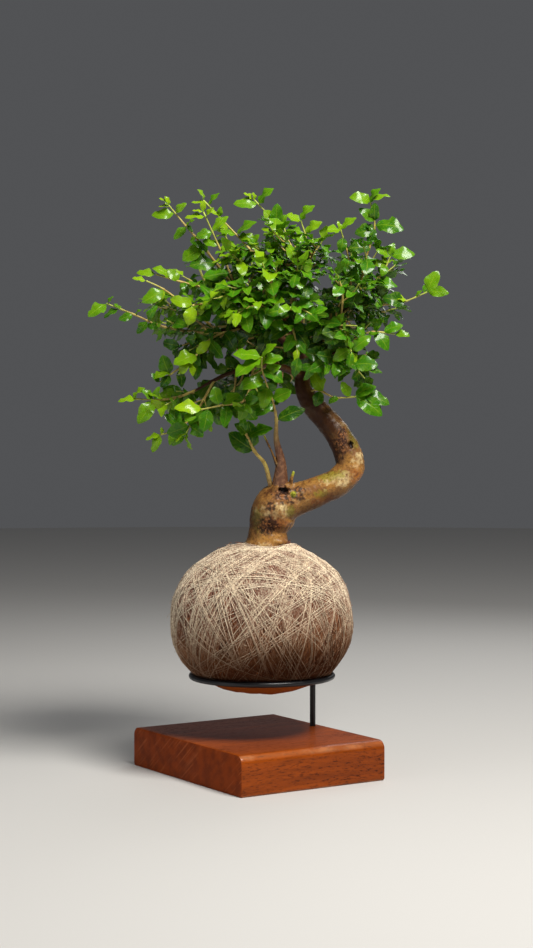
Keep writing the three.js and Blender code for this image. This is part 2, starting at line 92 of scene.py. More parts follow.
# The trunk: x, y, z and radius, from the root stump in the soil to the top of the leader
TRUNK = [
    (3, -2, 122, 9), (4.5, -2, 140, 14), (6.5, -2, 156, 18), (8, -2, 168, 15), (8.2, -2, 176, 13.6),
    (11, -2.5, 185, 16.4), (16, -4, 194, 16.6), (30, -5, 199, 11.8), (46, -5, 205.2, 10.6),
    (58.4, -4.5, 210.8, 10.6), (67.2, -3, 221, 10.4), (64.4, -1.5, 234.4, 9.8),
    (57.2, -0.5, 246.6, 9.2), (47.4, 0, 258.4, 8.5), (39.2, -1, 268, 7.9), (33.8, -2, 277, 6.4),
    (32.8, -1, 286, 5.2),
    (34, 1, 303, 4.2), (30, 3, 326, 3), (24, 4, 350, 1.6),
]
LEADER_POINTS = 5  # the last points of the trunk, which the topmost shoots leave
THIN_FROM = 290  # height above which the limbs are thin and take little relief
KNOB = ((18, -7, 204.6), (9.8, 10.5, 8))  # swelling of the old cut: its middle and half sizes
ROOT = ((15, -9, 168), (7, 7, 4))  # a root that shows at the ball's mouth
# The line on the old cut that sprouts leave
KNOB_LINE = [(10, -8.4, 208.4), (17, -9, 209), (23, -9, 209)]
# Hollows: middle, half sizes and how deep each is pressed in
HOLLOWS = [
    ((19, -17, 206), (4.6, 6, 3.8), 5.0),
    ((67.4, -9.6, 237.6), (2.2, 4.4, 3.8), 3.2),
]
# Rough bark: middle and half sizes
SCARS = [((61, -9, 239), (5.5, 8, 14)), ((22.5, -17, 202), (14, 9, 8)), ((8, -16, 180), (9, 8, 9)),
         ((29.5, -16, 205.6), (5, 8, 3.6)), ((10.5, -18, 194), (4.5, 6, 6))]
# Patches of painted highlight on the bark, of green film and of orange bark
PALE_HIGHLIGHTS = [((58, -14, 213), (18, 8, 6.5)), ((72, -9, 226), (6, 9, 9)), ((19, -19, 193.5), (3.5, 6, 4)),
         ((0, -13, 187), (5.5, 9, 9))]
FILMS = [((1, -14, 184), (6, 9, 11)), ((24.5, -18, 190), (5, 8, 6)), ((52, -12, 216), (15, 8, 5)),
         ((46, -14, 202), (6, 8, 4)), ((69, -6, 243), (5, 9, 12))]
RUSTS = [((18, -18, 181.5), (8, 9, 5)), ((72, -8, 215), (8, 10, 9)), ((50, -12, 198), (13, 9, 5))]
# Stubs left on the old cut: points and the radii of foot and tip
STUBS = [
    ([(24, -10, 208), (24.8, -13, 213), (26.6, -14, 219)], (2.0, 1.0)),
    ([(14.5, -11, 208), (15.5, -13, 220), (12, -17, 230), (5.3, -21, 244.6)], (1.7, 0.75)),
    ([(25.8, -16, 202), (26.4, -18.6, 204.2)], (1.6, 0.9)),
]
# Limbs inside the crown: points and the radii of foot and tip
LIMBS = {
    "left": ([(34, 0, 298), (14, -8, 316), (-10, -12, 321), (-36, -10, 317)], (3.6, 1.5)),
    "upperLeft": ([(32, 2, 310), (12, 3, 332), (-12, 0, 344)], (3, 1.4)),
    "lowLeft": ([(33, -2, 288), (8, -20, 295), (-20, -28, 288), (-44, -28, 276)], (3, 1.3)),
    "front": ([(34, 0, 300), (28, -22, 314), (18, -46, 328)], (3, 1.3)),
    "frontRight": ([(34, 0, 305), (46, -18, 318), (60, -36, 326)], (2.6, 1.2)),
    "right": ([(34, 1, 301), (52, 4, 320), (66, 4, 337), (74, 6, 352)], (3.2, 1.4)),
    "lowRight": ([(33, -1, 287), (50, -6, 299), (66, -10, 310)], (2.6, 1.2)),
    "back": ([(34, 1, 302), (30, 26, 318), (20, 52, 332)], (3.2, 1.4)),
    "backLeft": ([(32, 2, 308), (8, 28, 320), (-22, 48, 326)], (2.8, 1.3)),
    "backRight": ([(34, 2, 304), (54, 26, 318), (68, 46, 330)], (2.8, 1.3)),
    "lowBack": ([(33, 0, 290), (14, 28, 292), (-14, 44, 284)], (2.6, 1.2)),
}
CROWN_MIDDLE, CROWN_HALF = Vector((5, 0, 325)), Vector((88, 70, 68))
TWIG_FOOT, TWIG_TIP, STOUT_FOOT = 0.95, 0.45, 2.0  # radii
# Leafy shoots: name, limb, share of the limb, points on to the tip, distance between leaf pairs,
# longest leaf, how far along the leaves begin, radius of the foot
SHOOTS = [
    ("front_sprout", "knob", 0.5, [(17.4, -14, 226), (14, -22, 242), (14, -32, 256), (12, -41, 267),
     (7, -54, 281), (4, -62, 291), (4, -68, 299)], 14, 19, 0.45, 6.3),
    ("left_sprout", "knob", 0, [(6, -13.4, 224), (-1, -19.4, 232.8), (-7, -27, 245), (-15, -34, 262)],
     13, 20, 0.55, 1.8),
    ("upper_left_long", "upperLeft", 0.98, [(-37, -6, 378), (-53, -8, 397), (-63, -10, 409)], 15, 18),
    ("upper_left_twin", "leader", 0.9, [(4, 0, 368), (-15, 0, 389), (-39, 0, 414)], 15, 17),
    ("upper_left_inner", "upperLeft", 0.8, [(-13, -10, 348), (-25, -14, 375), (-38, -18, 404)], 15, 17),
    ("top_left", "leader", 0.99, [(29, 2, 370), (17, 2, 393), (-2, 2, 414)], 15, 18),
    ("top_middle", "leader", 0.94, [(38, 7, 362), (36, 6, 385), (32, 6, 399)], 15, 17),
    ("top_right", "right", 0.98, [(78, 8, 369), (85, 6, 394), (82, 4, 412)], 15, 18),
    ("right_pair", "right", 0.84, [(82, 2, 353), (91, 0, 362), (96, -1, 373)], 15, 18),
    ("right_arm", "right", 0.6, [(74, -4, 337), (90, -5, 338), (105, -6, 340), (122, -7, 347)], 16, 18),
    ("right_row", "lowRight", 0.96, [(80, -12, 318), (99, -10, 317)], 13, 18),
    ("right_star", "frontRight", 0.9, [(64, -42, 314), (66, -50, 303)], 11, 17),
    ("right_low", "lowRight", 0.75, [(64, -18, 298), (76, -24, 290)], 12, 18),
    ("fork", "trunk", 0.775, [(44, -9, 277), (57, -11, 271.5), (78, -11, 273)], 14, 18),
    ("left_arm", "left", 0.98, [(-66, -10, 322), (-88, -12, 331), (-108, -12, 339)], 15, 17),
    ("left_middle", "upperLeft", 0.9, [(-26, -10, 347), (-59, -20, 355), (-84, -24, 363)], 15, 17),
    ("left_low", "left", 0.88, [(-50, -24, 336), (-66, -30, 348), (-84, -34, 356)], 15, 18),
    ("left_bright", "left", 0.6, [(-24, -32, 334), (-42, -46, 336), (-56, -52, 326)], 15, 19),
    ("low_left_tail", "lowLeft", 0.98, [(-58, -28, 271), (-73, -26, 270), (-94, -24, 271)], 14, 18),
    ("low_left_hang", "lowLeft", 0.8, [(-42, -34, 262), (-56, -34, 249), (-74, -34, 244)], 14, 18),
    ("left_side", "left", 0.8, [(-40, -18, 302), (-58, -22, 290), (-70, -24, 281)], 13, 18),
    ("left_front", "left", 0.68, [(-30, -32, 314), (-42, -42, 301), (-54, -46, 288)], 13, 18),
    ("low_middle", "lowLeft", 0.45, [(-8, -40, 270), (-24, -48, 266), (-48, -52, 261)], 13, 18),
    ("centre_hang", "front", 0.78, [(26, -50, 317), (29, -57, 300)], 11, 17),
    ("centre_right", "frontRight", 0.7, [(52, -42, 322), (70, -50, 321)], 13, 18),
    ("centre_face", "front", 0.98, [(28, -62, 333), (38, -70, 328)], 11, 19),
    ("centre_left", "front", 0.9, [(4, -60, 334), (-14, -66, 331)], 12, 19),
    ("centre_far_left", "front", 0.62, [(2, -46, 342), (-24, -60, 344)], 14, 18),
    ("crown_left", "leader", 0.84, [(12, -20, 366), (-2, -36, 378)], 13, 17),
    ("crown_middle", "leader", 0.88, [(22, -18, 370), (20, -36, 385)], 12, 17),
    ("crown_right", "leader", 0.8, [(38, -20, 368), (44, -34, 381)], 12, 17),
    ("crown_low_right", "frontRight", 0.97, [(60, -46, 344), (56, -50, 357)], 12, 17),
    ("crown_low_left", "front", 0.94, [(10, -58, 350), (4, -64, 364)], 12, 17),
    ("crown_low_middle", "front", 0.86, [(27, -54, 348), (32, -62, 362)], 12, 17),
    ("crown_far_left", "upperLeft", 0.55, [(-6, -26, 360), (-16, -42, 371)], 13, 17),
    ("right_top_inner", "right", 0.76, [(66, -6, 370), (60, -12, 391)], 14, 18),
    ("right_face", "right", 0.9, [(78, -12, 366), (76, -24, 378)], 13, 19),
    ("right_middle", "right", 0.68, [(72, -20, 346), (80, -34, 350)], 13, 19),
    ("low_right_front", "lowRight", 0.5, [(50, -28, 303), (48, -42, 296)], 12, 18),
    ("back_top", "back", 0.98, [(12, 62, 358), (2, 70, 384)], 14, 18),
    ("back_middle", "back", 0.9, [(22, 72, 336), (18, 90, 336)], 13, 18),
    ("back_low", "back", 0.7, [(20, 58, 306), (16, 76, 292)], 13, 18),
    ("back_left_top", "backLeft", 0.98, [(-34, 58, 346), (-44, 60, 372)], 14, 18),
    ("back_left_middle", "backLeft", 0.92, [(-46, 54, 324), (-72, 56, 328)], 14, 18),
    ("back_left_low", "lowBack", 0.7, [(-12, 56, 270), (-30, 64, 260)], 13, 18),
    ("back_right_top", "backRight", 0.98, [(72, 54, 354), (70, 54, 381)], 14, 18),
    ("back_right_middle", "backRight", 0.92, [(84, 48, 334), (104, 44, 338)], 14, 18),
    ("back_right_low", "backRight", 0.75, [(66, 52, 304), (76, 58, 290)], 13, 18),
    ("back_crown", "leader", 0.82, [(26, 30, 372), (20, 42, 398)], 14, 17),
    ("back_crown_left", "upperLeft", 0.7, [(-10, 26, 366), (-24, 34, 392)], 14, 17),
    ("back_tail", "lowBack", 0.97, [(-36, 46, 278), (-60, 42, 272)], 14, 18),
    ("side_left", "left", 0.92, [(-48, 14, 330), (-78, 24, 343)], 15, 18),
    ("side_right", "right", 0.78, [(86, 22, 356), (102, 28, 369)], 15, 18),
]
# The photograph's viewpoint: the camera's place, how many degrees it looks down, its lens and its sensor
CAMERA, CAMERA_DOWN, LENS, SENSOR = (7.1, -1424, 263), 1.87, 75.0, 36.0
LIGHTS_AIM = (10, 0, 210)
FLOOR_RADIUS, FLOOR_THICK = 3000, 4

# Leaves seen from the front: share of the shoot, which way the leaf points in the front plane in degrees
# (0 to the right, 90 up), its length in millimetres, how far its face is turned to the front, how old it is
# with its painted shade
FRONT_LEAVES = {
    "upper_left_long": [
        (0.82, 185, 17, 0.8, 0.25), (0.82, 40, 11, 0.8, 0.25), (0.99, 115, 7, 0.5, 0.05),
        (0.97, 185, 8, 0.25, 0.05), (0.98, 145, 9, 0.25, 0.05), (0.6, 228, 13, 0.8, 0.35),
        (0.6, 35, 8, 0.3, 0.3), (0.62, 315, 8, 0.3, 0.5), (0.47, 250, 6, 0.4, 0.35),
        (0.36, 217, 18, 0.7, 0.3), (0.46, 350, 12, 0.6, 0.25), (0.22, 186, 20, 0.75, 0.65),
        (0.2, 238, 16, 0.8, 0.6), (0.3, 150, 14, 0.6, 0.4), (0.12, 205, 18, 0.7, 0.7)],
    "upper_left_inner": [
        (0.95, 185, 15, 0.15, 0.08), (0.99, 175, 8, 0.15, 0), (0.99, 90, 8, 0.6, 0.08),
        (0.95, 45, 9, 0.5, 0.08), (0.83, 45, 16, 0.5, 0.25), (0.83, 195, 12, 0.85, 0.35),
        (0.72, 163, 12, 0.6, 0.3), (0.7, 355, 14, 0.6, 0.22), (0.58, 5, 14, 0.25, 0.1),
        (0.58, 180, 10, 0.2, 0.1), (0.5, 190, 20, 0.6, 0.4), (0.46, 30, 15, 0.6, 0.4),
        (0.3, 200, 17, 0.7, 0.5), (0.28, 340, 15, 0.7, 0.5)],
    "upper_left_twin": [
        (0.99, 120, 9, 0.3, 0.2), (0.95, 175, 12, 0.1, 0.1), (0.94, 48, 12, 0.35, 0.35),
        (0.83, 85, 8, 0.6, 0.3), (0.83, 155, 9, 0.5, 0.08), (0.66, 170, 12, 0.5, 0.3),
        (0.66, 30, 18, 0.5, 0.35), (0.64, 348, 13, 0.6, 0.2), (0.5, 208, 16, 0.65, 0.4),
        (0.48, 60, 13, 0.5, 0.3), (0.3, 200, 17, 0.6, 0.4), (0.3, 330, 15, 0.6, 0.4)],
    "top_left": [
        (1, 150, 9, 0.5, 0.08), (0.99, 105, 6, 0.4, 0.1), (0.95, 182, 18, 0.7, 0.3),
        (0.94, 46, 16, 0.45, 0.35), (0.7, 92, 16, 0.85, 0.45), (0.7, 133, 15, 0.8, 0.18),
        (0.67, 63, 11, 0.3, 0.3), (0.62, 170, 16, 0.5, 0.12)],
    "top_middle": [
        (1, 160, 12, 0.6, 0.15), (1, 47, 15, 0.2, 0.3), (0.77, 33, 15, 0.65, 0.2),
        (0.77, 170, 14, 0.35, 0.3), (0.66, 163, 12, 0.6, 0.3)],
    "top_right": [
        (1, 168, 16, 0.75, 0.25), (1, 15, 15, 0.4, 0.2), (0.99, 55, 13, 0.45, 0.35),
        (0.74, 90, 14, 0.85, 0.75), (0.74, 142, 15, 0.85, 0.5), (0.69, 350, 22, 0.75, 0.6),
        (0.67, 247, 12, 0.85, 0.8), (0.67, 198, 15, 0.85, 0.7), (0.63, 145, 9, 0.5, 0.8)],
    "right_top_inner": [
        (1, 183, 13, 0.6, 0.2), (0.88, 262, 12, 0.85, 0.6), (1, 37, 14, 0.5, 0.25),
        (0.66, 0, 17, 0.7, 0.85), (0.97, 110, 8, 0.3, 0.15)],
    "right_pair": [
        (1, 158, 12, 0.65, 0.3), (1, 75, 10, 0.7, 0.3), (1, 5, 18, 0.75, 0.35),
        (0.8, 162, 11, 0.85, 0.25), (0.8, 245, 9, 0.8, 0.35), (0.85, 130, 7, 0.5, 0.2),
        (0.86, 20, 6, 0.3, 0.2), (0.4, 135, 12, 0.85, 0.45), (0.36, 352, 19, 0.6, 0.45),
        (0.34, 165, 15, 0.7, 0.55)],
    "right_arm": [
        (1, 356, 16, 0.95, 0.28), (1, 62, 17, 0.7, 0.28), (0.98, 100, 6, 0.5, 0.4),
        (0.88, 45, 7, 0.35, 0.35), (0.78, 172, 17, 0.85, 0.8), (0.79, 170, 9, 0.5, 0),
        (0.52, 168, 12, 0.8, 0.5)],
    "right_row": [
        (1, 350, 11, 0.7, 0.3), (0.78, 20, 15, 0.7, 0.4), (0.62, 65, 11, 0.7, 0.45),
        (0.6, 308, 17, 0.75, 0.55), (0.72, 195, 9, 0.5, 0.4)],
    "right_star": [
        (0.9, 214, 15, 0.9, 0.3), (1, 262, 11, 0.6, 0.5), (1, 292, 8, 0.3, 0.1),
        (0.95, 35, 17, 0.95, 0.35), (0.85, 120, 9, 0.6, 0.25), (0.55, 128, 8, 0.7, 0.2)],
    "right_low": [
        (0.5, 235, 14, 0.85, 0.4), (0.6, 325, 10, 0.85, 0.5), (0.7, 358, 18, 0.8, 0.55),
        (0.9, 350, 16, 0.5, 0.85), (0.55, 90, 8, 0.4, 0.08), (0.6, 153, 9, 0.5, 0.6)],
    "fork": [
        (0.84, 122, 13, 0.9, 0.25), (0.88, 325, 24, 0.75, 0.5), (0.88, 25, 17, 0.65, 0.5),
        (0.97, 342, 20, 0.65, 0.7), (0.7, 210, 9, 0.7, 0.6), (0.36, 257, 12, 0.7, 0.7),
        (0.45, 121, 18, 0.55, 0.15)],
    "centre_right": [
        (0.45, 183, 15, 0.5, 0.65), (0.5, 20, 13, 0.55, 0.65), (0.65, 60, 10, 0.6, 0.3),
        (1, 300, 9, 0.6, 0.4), (0.5, 250, 12, 0.8, 0.8)],
    "centre_face": [
        (0.5, 327, 17, 0.85, 0.45), (0.75, 235, 12, 0.7, 0.4), (1, 20, 12, 0.6, 0.4)],
    "centre_hang": [
        (0.55, 243, 15, 0.85, 0.4), (0.85, 265, 10, 0.5, 0.05), (1, 258, 15, 0.8, 0.7),
        (0.7, 305, 12, 0.7, 0.6)],
    "front_sprout": [
        (0.74, 198, 20, 0.8, 0.32), (0.6, 25, 15, 0.95, 0.34), (0.69, 257, 16, 0.6, 0.28),
        (0.8, 24, 14, 0.8, 0.34), (0.86, 132, 11, 0.85, 0.15), (0.93, 12, 15, 0.65, 0.35),
        (1, 175, 20, 0.5, 0.3), (0.98, 215, 23, 0.45, 0.32), (1, 40, 14, 0.45, 0.28),
        (0.9, 35, 8, 0.4, 0), (0.92, 75, 7, 0.4, 0), (0.85, 328, 17, 0.6, 0.6),
        (0.6, 197, 19, 0.85, 0.6), (0.58, 217, 16, 0.7, 0.5), (0.5, 145, 9, 0.6, 0.35),
        (0.42, 22, 22, 0.95, 0.85), (0.58, 148, 11, 0.7, 0.5), (0.56, 25, 10, 0.5, 0.6)],
    "left_sprout": [
        (0.52, 145, 23, 0.95, 0.85), (0.56, 100, 20, 0.9, 0.8), (0.72, 20, 19, 0.5, 0.6),
        (0.75, 137, 12, 0.7, 0.7), (0.77, 100, 13, 0.7, 0.5)],
    "low_middle": [
        (0.66, 30, 15, 0.5, 0.3), (0.7, 103, 14, 0.8, 0.35), (0.6, 262, 17, 0.95, 0.42),
        (0.52, 328, 10, 0.85, 0.4), (0.81, 259, 17, 0.8, 0.5), (0.86, 178, 20, 0.7, 0),
        (0.92, 225, 11, 0.7, 0.3)],
    "low_left_tail": [
        (0.85, 188, 14, 0.3, 0.12), (0.9, 40, 12, 0.35, 0.2), (0.68, 240, 20, 0.9, 0.28),
        (0.67, 140, 11, 0.6, 0.35), (0.65, 68, 10, 0.5, 0.3), (0.5, 160, 12, 0.15, 0.2)],
    "low_left_hang": [
        (0.87, 200, 12, 0.25, 0.15), (0.88, 245, 14, 0.5, 0.2), (0.86, 98, 5, 0.3, 0.2),
        (0.58, 243, 16, 0.95, 0.35), (0.73, 260, 10, 0.85, 0.3), (0.66, 98, 17, 0.8, 0.5),
        (0.62, 140, 15, 0.6, 0.7)],
    "left_front": [
        (0.66, 204, 18, 0.6, 0.2), (0.66, 45, 14, 0.9, 0.08), (0.67, 235, 10, 0.7, 0.1),
        (0.8, 285, 10, 0.3, 0.1), (1, 42, 10, 0.7, 0.1)],
    "left_side": [
        (0.75, 110, 15, 0.8, 0.75), (0.95, 135, 9, 0.6, 0.5), (0.72, 198, 14, 0.25, 0.2),
        (0.75, 235, 11, 0.85, 0.8), (0.6, 278, 14, 0.7, 0.9), (0.35, 262, 18, 0.8, 0.55)],
    "left_arm": [
        (0.98, 217, 17, 0.55, 0.3), (0.97, 50, 7, 0.4, 0.35), (0.83, 212, 13, 0.25, 0.55),
        (0.8, 145, 7, 0.4, 0.35), (0.67, 202, 11, 0.95, 0.4), (0.64, 40, 6, 0.4, 0.35),
        (0.5, 230, 12, 0.7, 0.5), (0.5, 57, 13, 0.6, 0.5), (0.37, 180, 10, 0.95, 0.55),
        (0.32, 45, 12, 0.5, 0.7)],
    "left_bright": [
        (0.7, 165, 17, 0.85, 0.12), (0.72, 258, 14, 0.85, 0.05), (0.6, 268, 8, 0.6, 0.1)],
    "left_middle": [
        (0.82, 176, 14, 0.6, 0.2), (0.7, 150, 14, 0.5, 0.22), (0.62, 135, 12, 0.7, 0.25),
        (0.6, 293, 10, 0.5, 0.5)],
    "left_low": [
        (0.88, 170, 10, 0.5, 0.08), (0.65, 212, 18, 0.85, 0.3), (0.66, 253, 10, 0.25, 0.05),
        (0.45, 170, 13, 0.35, 0.6)],
}

# ---------- settings that a user would change ----------


def length(name, text, default, low=0.0, high=1.0):
    return bpy.props.FloatProperty(name=name, description=text, default=default, min=low, max=high,
                                   unit="LENGTH", precision=5)


def colour(name, text, default):
    return bpy.props.FloatVectorProperty(name=name, description=text, default=default, size=3,
                                         min=0.0, max=1.0, subtype="COLOR")


class BlockSettings(bpy.types.PropertyGroup):
    """The hardwood block."""

    top_round: length("Top edge", "Radius of the two long top edges", 0.006)
    foot_round: length("Foot edge", "Radius of the two long bottom edges", 0.002)
    end_ease: length("End edge", "How far the sharp end edges are eased", 0.0006)
    bore: length("Bore", "Radius of the rod's hole", 0.0024)
    wood: colour("Wood", "Orange-brown face of the long grain", (0.36, 0.068, 0.004))
    dark_wood: colour("Dark wood", "Dark streaks and pores", (0.06, 0.010, 0.002))
    end_wood: colour("End wood", "Sawn end grain", (0.25, 0.040, 0.004))


class StandSettings(bpy.types.PropertyGroup):
    """The rod and the ring."""

    rod: length("Rod", "Radius of the upright rod", 0.0021)
    ring_rod: length("Ring rod", "Radius of the ring's own rod", 0.002)
    weld: length("Weld", "Radius of the weld bead", 0.0031)
    paint: colour("Paint", "Black paint on the steel", (0.012, 0.012, 0.014))


class BallSettings(bpy.types.PropertyGroup):
    """The moss ball and its winding."""

    turns: bpy.props.IntProperty(name="Turns", description="Turns of thread in the lowest layer", default=440,
                                 min=1, max=600)
    layers: bpy.props.IntProperty(name="Layers", description="Layers of winding", default=3, min=1, max=4)
    bundle: bpy.props.IntProperty(name="Bundle", description="Turns laid side by side", default=3, min=1)
    thread: length("Thread", "Diameter of the thread", 0.00054)
    depth: length("Depth", "How far the moss lies under the ball's outline", 0.0011)
    hairs: bpy.props.IntProperty(name="Loose fibres", description="Fibres that stand off the ball",
                                 default=420, min=0)
    cream: colour("Thread colour", "Clean thread", (0.96, 0.82, 0.60))
    # painted shade: the colour of the deeper layers of thread
    shaded_thread: colour("Dusty thread", "Thread in the lower layers", (0.17, 0.06, 0.038))
    # the two brown colours below are a stain with painted shade low on the ball
    soaked_and_shaded: colour("Soaked thread", "Brown thread below the ball's middle", (0.22, 0.085, 0.03))
    stained_and_shaded: colour("Stained thread", "Thread low on the ball", (0.055, 0.013, 0.003))
    moss: colour("Moss", "Dry moss fibre in the gaps", (0.09, 0.03, 0.02))


class TrunkSettings(bpy.types.PropertyGroup):
    """The trunk and its limbs."""

    voxel: length("Voxel", "Finest detail of the trunk's surface", 0.00075, 0.0004, 0.004)
    bark: colour("Bark", "Golden brown bark", (0.36, 0.175, 0.04))
    # pale bark on the worn ridges, and the painted highlights along the limb
    pale_bark_and_highlight: colour("Pale bark", "Worn bark on the ridges", (0.72, 0.55, 0.27))
    dark_bark: colour("Dark bark", "Pits and wrinkles", (0.05, 0.014, 0.007))
    olive: colour("Olive", "Green film on the bark", (0.25, 0.21, 0.02))


class LeafSettings(bpy.types.PropertyGroup):
    """The leafy shoots."""

    side_shoots: bpy.props.BoolProperty(name="Side shoots", description="Grow short side shoots",
                                        default=True)
    inner_twigs: bpy.props.IntProperty(name="Inner twigs", description="Leafy twigs inside the crown",
                                       default=80, min=0)
    young: colour("Young leaf", "Leaf at a shoot's tip", (0.24, 0.40, 0.004))
    grown: colour("Grown leaf", "Full-grown leaf", (0.045, 0.18, 0.003))
    # old leaf: also the colour of painted shade inside the crown
    old: colour("Old leaf", "Dark leaf inside the crown", (0.008, 0.042, 0.004))
    twig: colour("Twig", "Straw-coloured young twig", (0.50, 0.38, 0.09))
    woody: colour("Woody twig", "Brown foot of a twig", (0.13, 0.05, 0.022))


class StageSettings(bpy.types.PropertyGroup):
    """Floor, lights and camera."""

    floor: colour("Floor", "Pale floor", (0.60, 0.59, 0.57))
    key: bpy.props.FloatProperty(name="Key light", description="Soft light from the upper right",
                                 default=22.0, min=0.0, subtype="POWER")
    fill: bpy.props.FloatProperty(name="Fill light", description="Weak light from the left",
                                  default=1.7, min=0.0, subtype="POWER")
    world: bpy.props.FloatProperty(name="Surroundings", description="Brightness of the surroundings",
                                   default=0.09, min=0.0)


SETTINGS = {"block": BlockSettings, "stand": StandSettings, "ball": BallSettings,
            "trunk": TrunkSettings, "leaf": LeafSettings, "stage": StageSettings}


# ---------- places and curves ----------


def to_row(points):
    """Points of the plant's frame, in millimetres, as an array in the row frame, in metres."""
    x, y, z = np.asarray(points, float).reshape(-1, 3).T
    across = x * math.cos(TURN) + y * math.sin(TURN)
    away = y * math.cos(TURN) - x * math.sin(TURN)
    return np.column_stack((across, away, z)) * MM


def chance(a, b):
    """A fixed number from 0 to 1 for each pair of whole numbers."""
    wave = math.sin(a * 12.9898 + b * 78.233) * 43758.5453
    return wave - math.floor(wave)


def mix(low, high, share):
    return low + (high - low) * share


class Path:
    """A smooth curve through points, the same one that the CAD solids follow."""

    def __init__(self, points):
        inner = [Vector(p) for p in points]
        self.points = [2 * inner[0] - inner[1], *inner, 2 * inner[-1] - inner[-2]]
        self.spans = len(inner) - 1

    def point(self, share):
        span = min(int(share * self.spans), self.spans - 1) if share > 0 else 0
        t = share * self.spans - span
        a, b, c, d = self.points[span:span + 4]
        rise, fall = (c - a) / 2, (d - b) / 2
        bend = 3 * (c - b) - 2 * rise - fall
        return b + rise * t + bend * t * t + (2 * (b - c) + rise + fall) * t ** 3

    def tangent(self, share):
        step = 1e-4
        return (self.point(min(1, share + step)) - self.point(max(0, share - step))).normalized()

    def length(self, steps=60):
        spots = [self.point(i / steps) for i in range(steps + 1)]
        return sum((b - a).length for a, b in zip(spots, spots[1:]))


# ---------- meshes ----------


def new_mesh(name, points, faces, edges=()):
    mesh = bpy.data.meshes.new(name)
    mesh.from_pydata([tuple(p) for p in points], list(edges), [tuple(f) for f in faces])
    mesh.update()
    return mesh


def new_object(name, mesh):
    piece = bpy.data.objects.new(name, mesh)
    bpy.context.scene.collection.objects.link(piece)
    return piece


def smooth(mesh):
    mesh.polygons.foreach_set("use_smooth", [True] * len(mesh.polygons))
    mesh.update()


def evaluated_mesh(piece):
    """The mesh that an object's modifiers make, on its own."""
    graph = bpy.context.evaluated_depsgraph_get()
    return bpy.data.meshes.new_from_object(piece.evaluated_get(graph), preserve_all_data_layers=True,
                                           depsgraph=graph)


def grown(name, start, tree, **inputs):
    """A new object holding what a node tree makes of a start mesh, as a plain mesh."""
    seedling = new_object(name + "_start", start)
    modifier = seedling.modifiers.new("grow", "NODES")
    modifier.node_group = tree
    for item in tree.interface.items_tree:
        if item.in_out == "INPUT" and item.name in inputs:
            modifier[item.identifier] = inputs[item.name]
    bpy.context.view_layer.update()
    mesh = evaluated_mesh(seedling)
    mesh.name = name
    bpy.data.objects.remove(seedling)
    return new_object(name, mesh)


def finished(piece, slot, *nodes):
    """Rides the piece on the stand and lets it stand for its CAD nodes."""
    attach(piece, "root")
    if nodes:
        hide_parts(*nodes)
    return piece


def lathe(outline, sides, middle):
    """Points and faces of a closed turned shape whose outline starts and ends on its axis."""
    points = [(middle[0], middle[1], outline[0][1])]
    for radius, height in outline[1:-1]:
        for i in range(sides):
            angle = 2 * math.pi * i / sides
            points.append((middle[0] + radius * math.cos(angle), middle[1] + radius * math.sin(angle),
                           height))
    points.append((middle[0], middle[1], outline[-1][1]))
    last, rings = len(points) - 1, len(outline) - 2
    faces = [(0, 1 + (i + 1) % sides, 1 + i) for i in range(sides)]
    for ring in range(rings - 1):
        low, high = 1 + ring * sides, 1 + (ring + 1) * sides
        faces += [(low + i, low + (i + 1) % sides, high + (i + 1) % sides, high + i)
                  for i in range(sides)]
    top = 1 + (rings - 1) * sides
    faces += [(top + i, top + (i + 1) % sides, last) for i in range(sides)]
    return points, faces


def tube(path, thick, sides, steps):
    """Points and faces of a closed round tube along a path, with thick(share) its radius."""
    points, faces = [], []
    aside = path.tangent(0).orthogonal()
    for step in range(steps + 1):
        share = step / steps
        along = path.tangent(share)
        aside = (aside - along * aside.dot(along)).normalized()
        other = along.cross(aside)
        for i in range(sides):
            angle = 2 * math.pi * i / sides
            points.append(path.point(share)
                          + (aside * math.cos(angle) + other * math.sin(angle)) * thick(share))
    for step in range(steps):
        low, high = step * sides, (step + 1) * sides
        faces += [(low + i, low + (i + 1) % sides, high + (i + 1) % sides, high + i)
                  for i in range(sides)]
    faces += [tuple(range(sides))[::-1], tuple(range(steps * sides, (steps + 1) * sides))]
    return points, faces


# ---------- node helpers ----------


def socket(sockets, key):
    """A socket by its place, its identifier or its name."""
    if isinstance(key, int):
        return sockets[key]
    return next((s for s in sockets if s.identifier == key), None) or sockets[key]


def node(tree, kind, inputs=None, **settings):
    """Adds a node. An input given a socket is linked to it, and any other is set."""
    made = tree.nodes.new(kind)
    for name, value in settings.items():
        setattr(made, name, value)
    for name, value in (inputs or {}).items():
        if isinstance(value, bpy.types.NodeSocket):
            tree.links.new(value, socket(made.inputs, name))
        else:
            socket(made.inputs, name).default_value = value
    return made


def maths(tree, operation, first, second=0.0, third=0.0):
    return node(tree, "ShaderNodeMath", {0: first, 1: second, 2: third}, operation=operation).outputs[0]


def times(tree, first, second):
    return maths(tree, "MULTIPLY", first, second)


def plus(tree, first, second):
    return maths(tree, "ADD", first, second)


def ramp(tree, value, low, high, first=0.0, last=1.0, **settings):
    """A value moved from one range to another and held at its ends."""
    return node(tree, "ShaderNodeMapRange", {0: value, 1: low, 2: high, 3: first, 4: last},
                **settings).outputs[0]


def cloud(tree, place, scale, detail, **more):
    """Noise from 0 to 1."""
    return node(tree, "ShaderNodeTexNoise", {"Vector": place, "Scale": scale, "Detail": detail,
                                             **more}).outputs[0]


def xyz(tree, x, y, z):
    return node(tree, "ShaderNodeCombineXYZ", {0: x, 1: y, 2: z}).outputs[0]


def height_of(tree, place):
    return node(tree, "ShaderNodeSeparateXYZ", {0: place}).outputs[2]


def vectors(tree, operation, first, second=(0, 0, 0)):
    made = node(tree, "ShaderNodeVectorMath", {0: first, 1: second}, operation=operation)
    return made.outputs["Value" if operation in ("LENGTH", "DOT_PRODUCT") else "Vector"]


